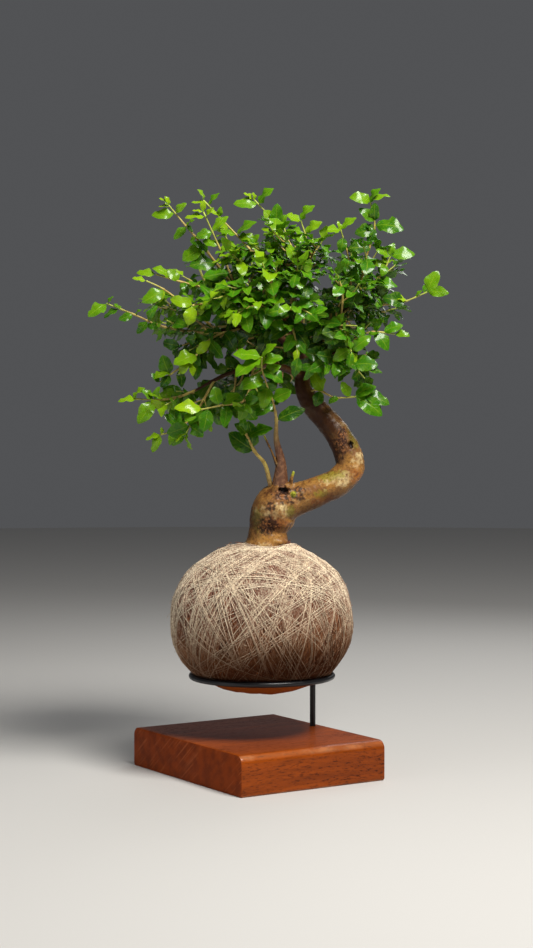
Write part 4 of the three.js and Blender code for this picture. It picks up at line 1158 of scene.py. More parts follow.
def winding_tree():
    """Closed turns of thread on the ball, in bundles laid side by side, clear of the mouth."""
    tree, entry, out = geometry_tree("Winding", [
        ("Turns", "Int", 400), ("Bundle", "Int", 9), ("Seed", "Int", 1),
        ("Mouth", "Float", 0.28), ("Widest", "Float", 1.1), ("Closeness", "Float", 2.4),
        ("Thread", "Float", 0.0004), ("Lift", "Float", 0.0008), ("Spread", "Float", 0.04),
        ("Palest", "Float", 1.0), ("Material", "Material", None)])

    def dice(low, high, number, seed):
        made = node(tree, "FunctionNodeRandomValue", {"Min_001": low, "Max_001": high, "ID": number,
                                                      "Seed": seed}, data_type="FLOAT")
        return made.outputs[1]

    index = node(tree, "GeometryNodeInputIndex").outputs[0]
    bundle = maths(tree, "FLOOR", maths(tree, "DIVIDE", index, entry["Bundle"]))
    place = maths(tree, "SUBTRACT", maths(tree, "MODULO", index, entry["Bundle"]),
                  times(tree, entry["Bundle"], 0.5))
    seeds = [plus(tree, entry["Seed"], float(k)) for k in range(7)]
    near = maths(tree, "POWER", dice(0.0, 1.0, bundle, seeds[0]), entry["Closeness"])
    fan = times(tree, place, entry["Spread"])
    distance = maths(tree, "MULTIPLY_ADD", near, maths(tree, "SUBTRACT", entry["Widest"],
                                                       entry["Mouth"]), entry["Mouth"])
    reach = dice(1.3, 1.5708, bundle, seeds[2])
    # the turns of a bundle run mostly side by side and fan out a little round the mouth
    aside = dice(0.6, 1.0, bundle, seeds[1])
    widest_fan = times(tree, times(tree, entry["Bundle"], 0.5), entry["Spread"])
    tilt = plus(tree, plus(tree, distance, reach), times(tree, widest_fan, aside))
    reach = plus(tree, maths(tree, "MULTIPLY_ADD", fan, aside, reach),
                 dice(-0.015, 0.015, index, seeds[2]))
    fanned = times(tree, fan, maths(tree, "SUBTRACT", 1.0, aside))
    heading = plus(tree, dice(0.0, 2 * math.pi, bundle, seeds[3]),
                   plus(tree, fanned, dice(-0.022, 0.022, index, seeds[4])))
    flat = maths(tree, "SINE", tilt)
    normal = xyz(tree, times(tree, flat, maths(tree, "COSINE", heading)),
                 times(tree, flat, maths(tree, "SINE", heading)), maths(tree, "COSINE", tilt))
    centre = node(tree, "ShaderNodeVectorMath", {0: normal, "Scale": maths(tree, "COSINE", reach)},
                  operation="SCALE").outputs[0]
    spots = node(tree, "GeometryNodePoints", {"Count": entry["Turns"]}).outputs[0]
    tone = maths(tree, "SUBTRACT", entry["Palest"], dice(0.0, 0.6, index, seeds[5]))
    for name, value in (("tone", tone), ("layer", dice(0.0, 1.0, bundle, seeds[6]))):
        spots = node(tree, "GeometryNodeStoreNamedAttribute", {"Geometry": spots, "Name": name,
                                                               "Value": value},
                     data_type="FLOAT", domain="POINT").outputs[0]
    turned = node(tree, "FunctionNodeAlignRotationToVector", {"Vector": normal}, axis="Z")
    wide = maths(tree, "SINE", reach)
    spots = node(tree, "GeometryNodeSetPosition", {"Geometry": spots, "Position": centre}).outputs[0]
    ring = node(tree, "GeometryNodeCurvePrimitiveCircle", {"Resolution": 54, "Radius": 1.0})
    turns = realized(tree, node(tree, "GeometryNodeInstanceOnPoints", {
        "Points": spots, "Instance": ring.outputs[0], "Rotation": turned.outputs[0],
        "Scale": xyz(tree, wide, wide, wide)}).outputs[0])
    # lean the winding's pole to the trunk's foot and throw every point out onto the ball
    lean = (Vector(TRUNK_FOOT) - Vector((*BALL_AXIS, BALL_MIDDLE))).normalized()
    lean = Vector(to_row([tuple(lean)])[0]).normalized()
    leaning = node(tree, "FunctionNodeAlignRotationToVector", {"Vector": tuple(lean)}, axis="Z")
    spot = node(tree, "ShaderNodeVectorMath", {0: node(tree, "GeometryNodeInputPosition").outputs[0]},
                operation="NORMALIZE").outputs[0]
    away = node(tree, "FunctionNodeRotateVector", {"Vector": spot, "Rotation": leaning.outputs[0]})
    middle = xyz(tree, *to_row([(*BALL_AXIS, BALL_MIDDLE)])[0])
    hit = node(tree, "GeometryNodeRaycast", {
        "Target Geometry": entry["Geometry"], "Source Position": middle, "Ray Direction": away.outputs[0],
        "Ray Length": 1.0})
    layer = node(tree, "GeometryNodeInputNamedAttribute", {"Name": "layer"}, data_type="FLOAT")
    wave = cloud(tree, hit.outputs["Hit Position"], 60.0, 1.0)
    rise = times(tree, plus(tree, layer.outputs[0], wave), times(tree, entry["Lift"], 0.6))
    # under the ring the winding sinks into the smooth foot of the ball
    height = height_of(tree, hit.outputs["Hit Position"])
    rise = plus(tree, rise, ramp(tree, height, *WINDING_FOOT, SUNK, 0.0))
    lifted = node(tree, "ShaderNodeVectorMath", {0: away.outputs[0], "Scale": rise},
                  operation="SCALE").outputs[0]
    place_out = vectors(tree, "ADD", hit.outputs["Hit Position"], lifted)
    turns = node(tree, "GeometryNodeSetPosition", {"Geometry": turns,
                                                   "Position": place_out}).outputs[0]
    half = times(tree, entry["Thread"], 0.5)
    section = node(tree, "GeometryNodeCurvePrimitiveCircle", {"Resolution": 3, "Radius": half})
    tubes = node(tree, "GeometryNodeCurveToMesh", {"Curve": turns,
                                                   "Profile Curve": section.outputs[0]}).outputs[0]
    end_tree(tree, entry, out, node(tree, "GeometryNodeSetShadeSmooth", {"Geometry": tubes}).outputs[0])
    return tree


def fibre_tree():
    """Short curled fibres that stand off the ball, thicker set round the mouth."""
    tree, entry, out = geometry_tree("Loose fibres", [
        ("Fibres", "Int", 400), ("Reach", "Float", 0.005), ("Thickness", "Float", 0.0003),
        ("Seed", "Int", 3), ("Material", "Material", None)])
    height = height_of(tree, node(tree, "GeometryNodeInputPosition").outputs[0])
    mean_radius, thickest = 0.062, 12.0
    mouth = ramp(tree, height, *MOUTH_FROM_TO, 1.0, thickest)
    density = maths(tree, "DIVIDE", entry["Fibres"], 4 * math.pi * mean_radius ** 2)
    density = times(tree, density, times(tree, mouth, ramp(tree, height, *HAIRLESS_FOOT)))
    roots = node(tree, "GeometryNodeDistributePointsOnFaces", {
        "Mesh": entry["Geometry"], "Density": density, "Seed": entry["Seed"]},
        distribute_method="RANDOM")

    def dice(low, high, step):
        return node(tree, "FunctionNodeRandomValue", {
            "Min_001": low, "Max_001": high, "Seed": plus(tree, entry["Seed"], step)},
            data_type="FLOAT").outputs[1]

    spots = node(tree, "GeometryNodeStoreNamedAttribute", {
        "Geometry": roots.outputs["Points"], "Name": "tone", "Value": dice(-0.4, 1.0, 1.0)},
        data_type="FLOAT", domain="POINT").outputs[0]
    spin = xyz(tree, dice(-0.25, 0.25, 2.0), dice(-0.4, 0.1, 3.0), dice(0.0, 2 * math.pi, 4.0))
    turned = node(tree, "FunctionNodeRotateRotation", {
        "Rotation": roots.outputs["Rotation"],
        "Rotate By": node(tree, "FunctionNodeEulerToRotation", {0: spin}).outputs[0]},
        rotation_space="LOCAL").outputs[0]
    curl = node(tree, "GeometryNodeCurveQuadraticBezier", {
        "Resolution": 5, "Start": (0, 0, 0), "Middle": (0.5, 0.1, 0.3), "End": (1, -0.1, 0.14)})
    size = times(tree, entry["Reach"], dice(0.4, 1.3, 5.0))
    hairs = realized(tree, node(tree, "GeometryNodeInstanceOnPoints", {
        "Points": spots, "Instance": curl.outputs[0], "Rotation": turned,
        "Scale": xyz(tree, size, size, size)}).outputs[0])
    section = node(tree, "GeometryNodeCurvePrimitiveCircle", {
        "Resolution": 3, "Radius": times(tree, entry["Thickness"], 0.5)}).outputs[0]
    tubes = node(tree, "GeometryNodeCurveToMesh", {"Curve": hairs, "Profile Curve": section,
                                                   "Fill Caps": True}).outputs[0]
    end_tree(tree, entry, out, tubes)
    return tree


class KOKEDAMA_OT_ball(bpy.types.Operator):
    """Makes the moss ball, its thread winding and the soil's finish"""

    bl_idname = "kokedama.ball"
    bl_label = "Moss ball and winding"

    def execute(self, context):
        settings = context.scene.kokedama_ball
        moss = new_object("moss_ball", ball_mesh("moss_ball", settings.depth / MM, 1.1))
        moss.data.materials.append(moss_material(settings))
        finished(moss, "moss_fibre", "moss_wrap")
        soil = frame["nodes"]["soil_ball"]
        soil.data.materials.clear()
        soil.data.materials.append(soil_material())
        thread, tree = thread_material(settings), winding_tree()
        # lower layers take darker tones, as painted shade between the threads
        for layer in range(settings.layers):
            piece = grown(f"thread_winding_{layer + 1}", moss.data.copy(), tree, **{
                "Turns": int(settings.turns * (1 - 0.26 * layer)), "Bundle": settings.bundle,
                "Seed": 5 + 20 * layer, "Thread": settings.thread, "Material": thread,
                "Lift": settings.depth * (0.35 + 0.35 * layer), "Palest": 0.32 + 0.32 * layer ** 1.5})
            finished(piece, "thread", *(["thread_winding"] if layer == 0 else []))
        fibres = grown("loose_fibres", moss.data.copy(), fibre_tree(), **{
            "Fibres": settings.hairs, "Thickness": settings.thread * 0.45, "Material": thread})
        finished(fibres, "thread")
        return {"FINISHED"}


# ---------- trunk ----------


def trunk_radius(share):
    """The trunk's radius at a share of its length."""
    along = share * (len(TRUNK) - 1)
    low = min(int(along), len(TRUNK) - 2)
    return mix(TRUNK[low][3], TRUNK[low + 1][3], along - low)


def ellipsoid(middle, sizes, sides=28, rings=16):
    """Points and faces of a closed ellipsoid."""
    outline = [(math.sin(math.pi * i / rings), -math.cos(math.pi * i / rings)) for i in range(rings + 1)]
    points, faces = lathe(outline, sides, (0, 0))
    return [(middle[0] + p[0] * sizes[0], middle[1] + p[1] * sizes[1], middle[2] + p[2] * sizes[2])
            for p in points], faces


def inside(points, middle, sizes, ragged=0.0):
    """How deep each point lies in an ellipsoid: 1 in its middle, 0 on its surface and outside."""
    q = np.sqrt((((points - np.array(middle)) / np.array(sizes)) ** 2).sum(1))
    if ragged:
        for i in np.nonzero(q < 1.6)[0]:
            q[i] += ragged * (noise.noise(Vector(points[i]) * 0.45) + 0.5 * noise.noise(Vector(points[i])))
    return np.clip(1 - q, 0, 1)


def patch_mask(points, patches, ragged=0.6):
    """A mask of soft patches with ragged edges."""
    mask = np.zeros(len(points))
    for middle, sizes in patches:
        mask = np.maximum(mask, np.minimum(1, 2 * inside(points, middle, sizes, ragged)))
    return mask


def trunk_start():
    """Tubes and swellings of the whole tree as one mesh of separate closed shapes, in millimetres."""
    parts = [tube(Path([p[:3] for p in TRUNK]), trunk_radius, 32, 150)]
    parts += [ellipsoid(*KNOB), ellipsoid(*ROOT)]
    for path, (foot, tip) in [*STUBS, *LIMBS.values()]:
        parts.append(tube(Path(path), lambda share, a=foot, b=tip: mix(a, b, share), 14, 24))
    return joined("trunk", parts)


def bark_relief(points, normals):
    """Moves bark points out and in, in millimetres, and returns how high each one lies."""
    moved, ridge = points.copy(), np.zeros(len(points))
    for i, (p, n) in enumerate(zip(points, normals)):
        spot = Vector(p)
        broad = noise.noise(spot * 0.06) + 0.5 * noise.noise(spot * 0.15)
        lumps = noise.noise(spot * 0.38 + Vector((9, 3, 5)))
        bumps = noise.noise(spot * 0.95)
        pits = noise.voronoi(spot * 0.24)[0][0]
        pit = max(0.0, 0.16 - pits) / 0.16
        moved[i] = p + n * (0.6 * broad + 0.3 * lumps + 0.1 * bumps - 0.4 * pit)
        ridge[i] = 0.5 + 0.4 * broad + 0.3 * lumps + 0.12 * bumps - 0.5 * pit
    return moved, np.clip(ridge, 0, 1)


SHADED_FROM, SHADED_TO = 222, 248  # heights between which painted shade of the crown darkens the limb
FRESH_SIZE = (3.4, 4, 4.5)  # half sizes of the fresh wood at a stub's tip


def bark_masks(points, normals, ridge):
    """How strongly each finish, painted shade and painted highlight shows at each point of the bark."""
    # painted shade on the faces turned down and away from the key light
    under = -normals @ np.array((0.5, -0.1, 0.85)) * 1.6 + 0.15
    # painted shade of the crown darkens the limb upwards, most on its left
    leafy = np.clip((points[:, 2] - SHADED_FROM) / (SHADED_TO - SHADED_FROM), 0, 1)
    leafy *= np.clip(1.15 - 0.95 * normals[:, 0], 0, 1)
    # the pale ridge mask also carries painted highlights
    return {"ridge": ridge + 0.4 * patch_mask(points, PALE_HIGHLIGHTS), "hollow": np.zeros(len(points)),
            "scar": patch_mask(points, SCARS), "film": patch_mask(points, FILMS),
            "rust": patch_mask(points, RUSTS),
            "fresh": patch_mask(points, [(path[-1], FRESH_SIZE) for path, _thick in STUBS], 0),
            "shade": np.clip(np.maximum(under, leafy), 0, 1)}


def press_hollows(points, moved, masks):
    """Presses the hollows in from the front and marks them for painted shade."""
    for middle, sizes, depth in HOLLOWS:
        deep = inside(points, middle, sizes, 0.55)
        moved[:, 1] += depth * np.minimum(1, deep * 1.7)
        masks["hollow"] = np.maximum(masks["hollow"], np.minimum(1, deep * 2.0))


def roughen_scars(points, normals, moved, masks):
    """Moves the torn bark of the scars out and in."""
    for i in np.nonzero(masks["scar"])[0]:
        spot = Vector(points[i])
        lift = noise.noise(spot * 0.8) + 0.6 * noise.noise(spot * 1.9)
        moved[i] += normals[i] * masks["scar"][i] * 0.8 * lift


class KOKEDAMA_OT_trunk(bpy.types.Operator):
    """Grows the trunk and its limbs as one skin with bark relief, scars and hollows"""

    bl_idname = "kokedama.trunk"
    bl_label = "Trunk"

    def execute(self, context):
        settings = context.scene.kokedama_trunk
        piece = new_object("bonsai_trunk", trunk_start())
        fuse = piece.modifiers.new("fuse", "REMESH")
        fuse.mode, fuse.voxel_size, fuse.adaptivity = "VOXEL", settings.voxel / MM, 0.0
        soften = piece.modifiers.new("soften", "SMOOTH")
        soften.factor, soften.iterations = 0.5, 5
        bpy.context.view_layer.update()
        mesh = evaluated_mesh(piece)
        piece.modifiers.clear()
        piece.data = mesh
        count = len(mesh.vertices)
        points, normals = np.zeros(count * 3), np.zeros(count * 3)
        mesh.vertices.foreach_get("co", points)
        mesh.vertex_normals.foreach_get("vector", normals)
        points, normals = points.reshape(-1, 3), normals.reshape(-1, 3)
        thin = points[:, 2] > THIN_FROM
        moved, ridge = bark_relief(points, normals)
        moved[thin] = points[thin] + (moved[thin] - points[thin]) * 0.4
        masks = bark_masks(points, normals, ridge)
        press_hollows(points, moved, masks)
        roughen_scars(points, normals, moved, masks)
        mesh.vertices.foreach_set("co", to_row(moved).ravel())
        for name, values in masks.items():
            layer = mesh.attributes.new(name, "FLOAT", "POINT")
            layer.data.foreach_set("value", values)
        mesh.update()
        smooth(mesh)
        mesh.materials.clear()
        mesh.materials.append(bark_material(settings))
        finished(piece, "bark", "trunk")
        return {"FINISHED"}


# ---------- leaves ----------

LEAF_KINDS = 8
PLACED_MARKS, SIDE_MARKS, INNER_MARKS = 5000, 1000, 9000  # where each kind of leaf starts counting
# A leaf from its stalk to its tip: share of its length and half its width
LEAF_ROWS = [(0, 0.018), (0.08, 0.03), (0.14, 0.15), (0.25, 0.265), (0.4, 0.325), (0.55, 0.325),
             (0.7, 0.285), (0.84, 0.2), (0.94, 0.1), (1, 0.008)]
LEAF_COLUMNS = (-1.0, -0.5, 0.0, 0.5, 1.0)


def leaf_kind(kind):
    """One closed leaf, its stalk at the origin and its tip near Y = 1, with a map of its blade."""
    fold = mix(0.0, 0.3, chance(kind, 21))
    bend = leaf_bend(kind)
    waves = mix(0.06, 0.125, chance(kind, 23))
    phase = 6.28 * chance(kind, 24)
    lean = mix(-0.07, 0.07, chance(kind, 25))
    slim = mix(0.82, 1.06, chance(kind, 26))
    half_thick = 0.008
    points, top, under = [], {}, {}
    for i, (share, half) in enumerate(LEAF_ROWS):
        arc = bend * share ** 1.4
        for j, column in enumerate(LEAF_COLUMNS):
            width = half * slim * (1 if i < 2 else 1 + 0.08 * math.sin(13 * share + phase + column))
            x = column * width + lean * math.sin(math.pi * share)
            ripple = waves * math.sin(12 * share + phase + 2.1 * (column > 0)) * abs(column) ** 1.5
            ripple *= math.sin(math.pi * min(1, share * 1.05))
            rise = fold * abs(column) * width * (1.4 - 0.8 * abs(column)) + ripple
            rim = abs(column) == 1 or i in (0, len(LEAF_ROWS) - 1)
            top[i, j] = under[i, j] = len(points)
            for side in (0,) if rim else (half_thick, -half_thick):
                up = rise + side
                points.append((x, share * math.cos(arc / 2) + up * math.sin(arc),
                               up * math.cos(arc) - share * math.sin(arc / 2)))
            under[i, j] = len(points) - 1
    faces, maps = [], []
    rows, columns = len(LEAF_ROWS), len(LEAF_COLUMNS)
    for i in range(rows - 1):
        for j in range(columns - 1):
            corners = ((i, j), (i, j + 1), (i + 1, j + 1), (i + 1, j))
            spots = [((LEAF_COLUMNS[c] + 1) / 2.02 + 0.004, LEAF_ROWS[r][0]) for r, c in corners]
            faces.append([top[c] for c in corners])
            maps.append(spots)
            faces.append([under[c] for c in reversed(corners)])
            maps.append([(u + 1, v) for u, v in reversed(spots)])
    mesh = new_mesh(f"leaf_kind_{kind}", points, faces)
    layer = mesh.uv_layers.new(name="leaf_map")
    layer.data.foreach_set("uv", [n for face in maps for spot in face for n in spot])
    smooth(mesh)
    rim = {top[c] for c in top if top[c] == under[c]}
    sharp = mesh.attributes.new("sharp_edge", "BOOLEAN", "EDGE")
    sharp.data.foreach_set("value", [set(edge.vertices) <= rim for edge in mesh.edges])
    return mesh


def spray_tree():
    """Twigs along edges and a leaf on each loose point."""
    tree, entry, out = geometry_tree("Leafy shoot", [
        ("Leaf kinds", "Collection", None), ("Twig sides", "Int", 7), ("Leaf material", "Material", None),
        ("Twig material", "Material", None)])

    def named(name, kind="FLOAT"):
        return node(tree, "GeometryNodeInputNamedAttribute", {"Name": name}, data_type=kind).outputs[0]

    is_leaf = maths(tree, "GREATER_THAN", named("length"), 0.0)
    split = node(tree, "GeometryNodeSeparateGeometry", {"Geometry": entry["Geometry"],
                                                        "Selection": is_leaf}, domain="POINT")
    line = node(tree, "GeometryNodeMeshToCurve", {"Mesh": split.outputs["Inverted"]}).outputs[0]
    section = node(tree, "GeometryNodeCurvePrimitiveCircle", {"Resolution": entry["Twig sides"],
                                                              "Radius": 1.0}).outputs[0]
    twig = node(tree, "GeometryNodeCurveToMesh", {"Curve": line, "Profile Curve": section,
                                                  "Scale": named("thick"), "Fill Caps": True})
    twig = node(tree, "GeometryNodeSetMaterial", {"Geometry": twig.outputs[0],
                                                  "Material": entry["Twig material"]}).outputs[0]
    kinds = node(tree, "GeometryNodeCollectionInfo", {"Collection": entry["Leaf kinds"],
                                                      "Separate Children": True,
                                                      "Reset Children": True}).outputs[0]
    turned = node(tree, "FunctionNodeAxesToRotation", {
        "Primary Axis": named("axis", "FLOAT_VECTOR"), "Secondary Axis": named("face", "FLOAT_VECTOR")},
        primary_axis="Y", secondary_axis="Z").outputs[0]
    size = named("length")
    scale = xyz(tree, times(tree, size, named("breadth")), size, size)
    leaves = node(tree, "GeometryNodeInstanceOnPoints", {
        "Points": split.outputs["Selection"], "Instance": kinds, "Pick Instance": True,
        "Instance Index": named("kind", "INT"), "Rotation": turned, "Scale": scale}).outputs[0]
    leaves = node(tree, "GeometryNodeSetMaterial", {"Geometry": leaves,
                                                    "Material": entry["Leaf material"]}).outputs[0]
    both = node(tree, "GeometryNodeJoinGeometry")
    tree.links.new(twig, both.inputs[0])
    tree.links.new(leaves, both.inputs[0])
    soft = node(tree, "GeometryNodeSetShadeSmooth", {
        "Geometry": realized(tree, both.outputs[0])}).outputs[0]
    tree.links.new(soft, out["Geometry"])
    return tree


def leaf_bend(kind):
    """The angle through which a kind of leaf arches down, in radians."""
    return mix(0.35, 1.25, chance(kind, 22))


def leaf(at, axis, face, size, mark, age):
    """What the tree needs to know of one leaf: face is the way that its upper side looks."""
    axis = axis.normalized()
    face = (face - axis * face.dot(axis)).normalized()
    return {"at": at, "axis": axis, "face": face, "size": size, "age": age,
            "kind": int(LEAF_KINDS * chance(mark, 10)), "breadth": mix(0.8, 1.06, chance(mark, 9))}


def leaf_spots(entry):
    """Three points down a leaf's arch, to keep leaves apart by."""
    return np.array([entry["at"] + (entry["axis"] * reach - entry["face"] * dip) * entry["size"]
                     for reach, dip in ((0.4, 0.02), (0.7, 0.1), (0.95, 0.25))])


UP = Vector((0, 0, 1))
TURNS = (0, 0.45, -0.45, 0.9, -0.9, 1.4, -1.4)  # tried in order until a leaf hangs clear
CLEAR, CROWDED = 4.2, 2.2  # distances between leaves, in millimetres
TOP_FROM, TOP_TO = 315, 360  # heights between which leaves come to face the sky
taken = []  # the spots of the leaves placed so far


def sideways(along, roll):
    """The way at right angles to a stem, turned about it from the level."""
    side = along.cross(UP).normalized()
    return side * math.cos(roll) + side.cross(along) * math.sin(roll)


def clear_leaf(at, along, roll, spread, droop, size, mark, age):
    """The first of a few turns about the stem that keeps a leaf clear of the others, or None."""
    face = 0.8 * Vector((chance(mark, 5) - 0.5, chance(mark, 6) - 0.5, chance(mark, 7) - 0.5))
    high = min(1, max(0, (at.z - TOP_FROM) / (TOP_TO - TOP_FROM)))
    face += mix(0.5, 1.8, high) * UP + mix(1.0, 0.4, high) * (at - CROWN_MIDDLE).normalized()
    best, best_room = None, CROWDED
    for turn in TURNS:
        axis = along * math.cos(spread) + sideways(along, roll + turn) * math.sin(spread)
        axis.z -= droop
        entry = leaf(at, axis, face, size, mark, age)
        room = CLEAR
        if taken:
            gaps = np.array(taken)[:, None] - leaf_spots(entry)[None]
            room = math.sqrt((gaps ** 2).sum(2).min())
        if room > best_room:
            best, best_room = entry, room
        if room >= CLEAR:
            break
    if best:
        taken.extend(leaf_spots(best))
    return best


LEAST_TURNED = 0.42  # below this a blade of the crown would be seen from its edge alone


def front_leaves(name, stem, seed):
    """The leaves of a shoot that are placed as they are seen from the front."""
    leaves = []
    for k, (share, angle, size, turned, age) in enumerate(FRONT_LEAVES.get(name, ())):
        mark = PLACED_MARKS + seed * 40 + k
        turn, turned = math.radians(angle), max(turned, LEAST_TURNED)
        chord = Vector((math.cos(turn), mix(-0.35, 0.1, chance(mark, 3)), math.sin(turn))).normalized()
        face = Vector((0.25 * (chance(mark, 5) - 0.5), -turned, 1.1 - turned))
        entry = leaf(stem.point(share), chord, face, size, mark, age)
        # raise the blade's foot so that its arch ends where the leaf should point
        half = leaf_bend(entry["kind"]) / 2
        entry["axis"], entry["face"] = (
            entry["axis"] * math.cos(half) + entry["face"] * math.sin(half),
            entry["face"] * math.cos(half) - entry["axis"] * math.sin(half))
        taken.extend(leaf_spots(entry))
        leaves.append(entry)
    return leaves


def stem_thickness(foot):
    """A stem's radius by share of its length: a stout foot thins quickly, a slender one evenly."""
    power = 4 if foot > STOUT_FOOT else 1
    return lambda share: TWIG_TIP + (foot - TWIG_TIP) * (1 - share) ** power


def shade_inside(at):
    """How deep in the crown a leaf hangs: 1 in the middle, 0 at its outside."""
    away = at - CROWN_MIDDLE
    return max(0, 1 - Vector(a / b for a, b in zip(away, CROWN_HALF)).length)


def leaf_pairs(stem, gap, longest, bare, seed, tone, end=1.0):
    """Leaves in pairs up one stem, as the CAD places them, with the last pair at the tip."""
    pairs = max(2, round(stem.length() * (1 - bare) / gap))
    leaves, stations = [], []
    for k in range(1, pairs + 1):
        last = k == pairs
        share = 0.97 if last else bare + (1 - bare) * k / pairs
        if share > end:
            break
        along = stem.tangent(share)
        turn = 0 if k % 2 else 1.4 * abs(along.z)
        # painted shade: leaves deeper in the crown are darker
        shaded = tone + 0.7 * shade_inside(stem.point(share))
        stations.append(share)
        for half in (0, 1):
            mark = seed * 40 + k * 2 + half
            leaves.append(clear_leaf(
                stem.point(share), along,
                roll=turn + half * math.pi + 0.9 * (chance(mark, 1) - 0.5),
                spread=0.55 if last else 0.95 + 0.35 * chance(mark, 2),
                droop=0 if last else 0.1 + 0.4 * chance(mark, 3),
                size=longest * (0.75 if last else 1) * (0.86 + 0.28 * chance(mark, 4)),
                mark=mark, age=shaded + 0.42 * (1 - k / pairs) + 0.3 * (chance(mark, 8) - 0.5)))
    return [entry for entry in leaves if entry], stations


NODE_SWELL, NODE_REACH = 1.35, 0.6  # how much thicker a stem is, and how near a leaf's foot


def stem_line(path, thick, stations, steps, young, end=1.0):
    """Points, radii and youth along one stem, a little thicker where leaves leave it."""
    shares = sorted({end * i / steps for i in range(steps + 1)} | {s for s in stations if s <= end})
    length_mm = path.length()
    line = []
    for share in shares:
        near = min((abs(share - s) * length_mm for s in stations), default=9)
        line.append((path.point(share), thick(share) * (NODE_SWELL if near < NODE_REACH else 1),
                     mix(*young, share)))
    return line


def shoot_tone(points):
    """How old a shoot's leaves look, with painted shade added: bright at the upper left and in front, dark to
    the right, and darker with painted shade low down and at the back.
    """
    tip = Vector(points[-1])
    right = (tip.x - 20) / 100
    low = (345 - tip.z) / 130
    back = max(0.0, tip.y) / 200
    return min(0.75, max(0.0, 0.24 + 0.34 * right + 0.28 * low + back))


def shoot_plan(row, index, curves, side_shoots):
    """All stems and leaves of one shoot, in millimetres."""
    name, limb, share, path, gap, longest, *rest = row
    bare, foot = rest or (0, TWIG_FOOT)
    start = curves[limb].point(share)
    stem = Path([start, *path])
    tone = shoot_tone(path)
    placed = [entry[0] for entry in FRONT_LEAVES.get(name, ())]
    end = max(placed, default=1.0)
    leaves = front_leaves(name, stem, index)
    pairs, stations = leaf_pairs(stem, gap, longest, bare, index, tone, min(placed, default=1.08) - 0.08)
    leaves += pairs
    woody = -0.25 if foot > STOUT_FOOT else 0.1 if foot > TWIG_FOOT else 0.35
    lines = [stem_line(stem, stem_thickness(foot), stations + placed, 22, (woody, 1.0), end)]
    if side_shoots:
        for k, station in enumerate(stations if placed else stations[:-1]):
            for half in (0, 1):
                mark = index * 40 + k * 2 + half
                if chance(mark, 31) < 0.55:
                    side_stem, side_leaves = side_shoot(stem, station, half, mark, longest, tone)
                    if side_leaves:
                        lines.append(side_stem)
                        leaves += side_leaves
    return lines, leaves


def side_shoot(stem, station, half, mark, longest, tone):
    """A short shoot from the axil of a leaf, with two small pairs."""
    along = stem.tangent(station)
    out = sideways(along, half * math.pi + 1.2 * (chance(mark, 32) - 0.5))
    reach = mix(9, 19, chance(mark, 33))
    way = (along * 0.75 + out * 0.8 + Vector((0, 0, 0.12))).normalized()
    at = stem.point(station)
    twig = Path([at, at + way * reach * 0.5, at + (way + along * 0.25).normalized() * reach])
    leaves, stations = leaf_pairs(twig, 8.5, longest * 0.85, 0.2, SIDE_MARKS + mark, tone + 0.05)
    return stem_line(twig, lambda share: mix(0.6, 0.4, share), stations, 8, (0.6, 1.0)), leaves


def inner_plan(curves, count):
    """Short leafy twigs on the limbs that fill the shaded inside of the crown."""
    lines, leaves = [], []
    for number in range(count):
        mark = INNER_MARKS + number
        limb = curves[sorted(LIMBS)[number % len(LIMBS)]]
        share = mix(0.3, 1.0, chance(mark, 41))
        along, at = limb.tangent(share), limb.point(share)
        out = sideways(along, 2 * math.pi * chance(mark, 42))
        way = (along * 0.5 + out + Vector((0, 0.25, 0.15))).normalized()
        reach = mix(16, 34, chance(mark, 43))
        twig = Path([at, at + way * reach * 0.5, at + (way + 0.3 * along).normalized() * reach])
        # painted shade: the inner twigs' leaves start dark
        found, stations = leaf_pairs(twig, 10, 18, 0.25, mark, 0.78)
        if found:
            lines.append(stem_line(twig, lambda t: mix(0.8, 0.45, t), stations, 8, (0.1, 0.8)))
            leaves += found
    return lines, leaves


def start_mesh(name, lines, leaves):
    """The stems as edges and the leaves as loose points, with what the tree reads of them."""
    points, edges = [], []
    values = {"thick": [], "young": [], "length": [], "age": [], "breadth": [], "kind": [],
              "axis": [], "face": []}

    def add(place, **facts):
        points.append(tuple(place))
        for key, column in values.items():
            column.append(facts.get(key, (0, 0, 0) if key in ("axis", "face") else 0))

    for line in lines:
        first = len(points)
        for place, thick, young in line:
            add(place, thick=thick * MM, young=young)
        edges += [(i, i + 1) for i in range(first, len(points) - 1)]
    for entry in leaves:
        add(entry["at"], length=entry["size"] * MM, age=min(1, max(0, entry["age"])),
            breadth=entry["breadth"], kind=entry["kind"],
            axis=tuple(to_row([tuple(entry["axis"])])[0] / MM),
            face=tuple(to_row([tuple(entry["face"])])[0] / MM))
    mesh = new_mesh(name, to_row(points), [], edges)
    for key, column in values.items():
        kind = {"kind": "INT", "axis": "FLOAT_VECTOR", "face": "FLOAT_VECTOR"}.get(key, "FLOAT")
        layer = mesh.attributes.new(key, kind, "POINT")
        layer.data.foreach_set("vector" if kind == "FLOAT_VECTOR" else "value",
                               np.array(column).ravel())
    return mesh


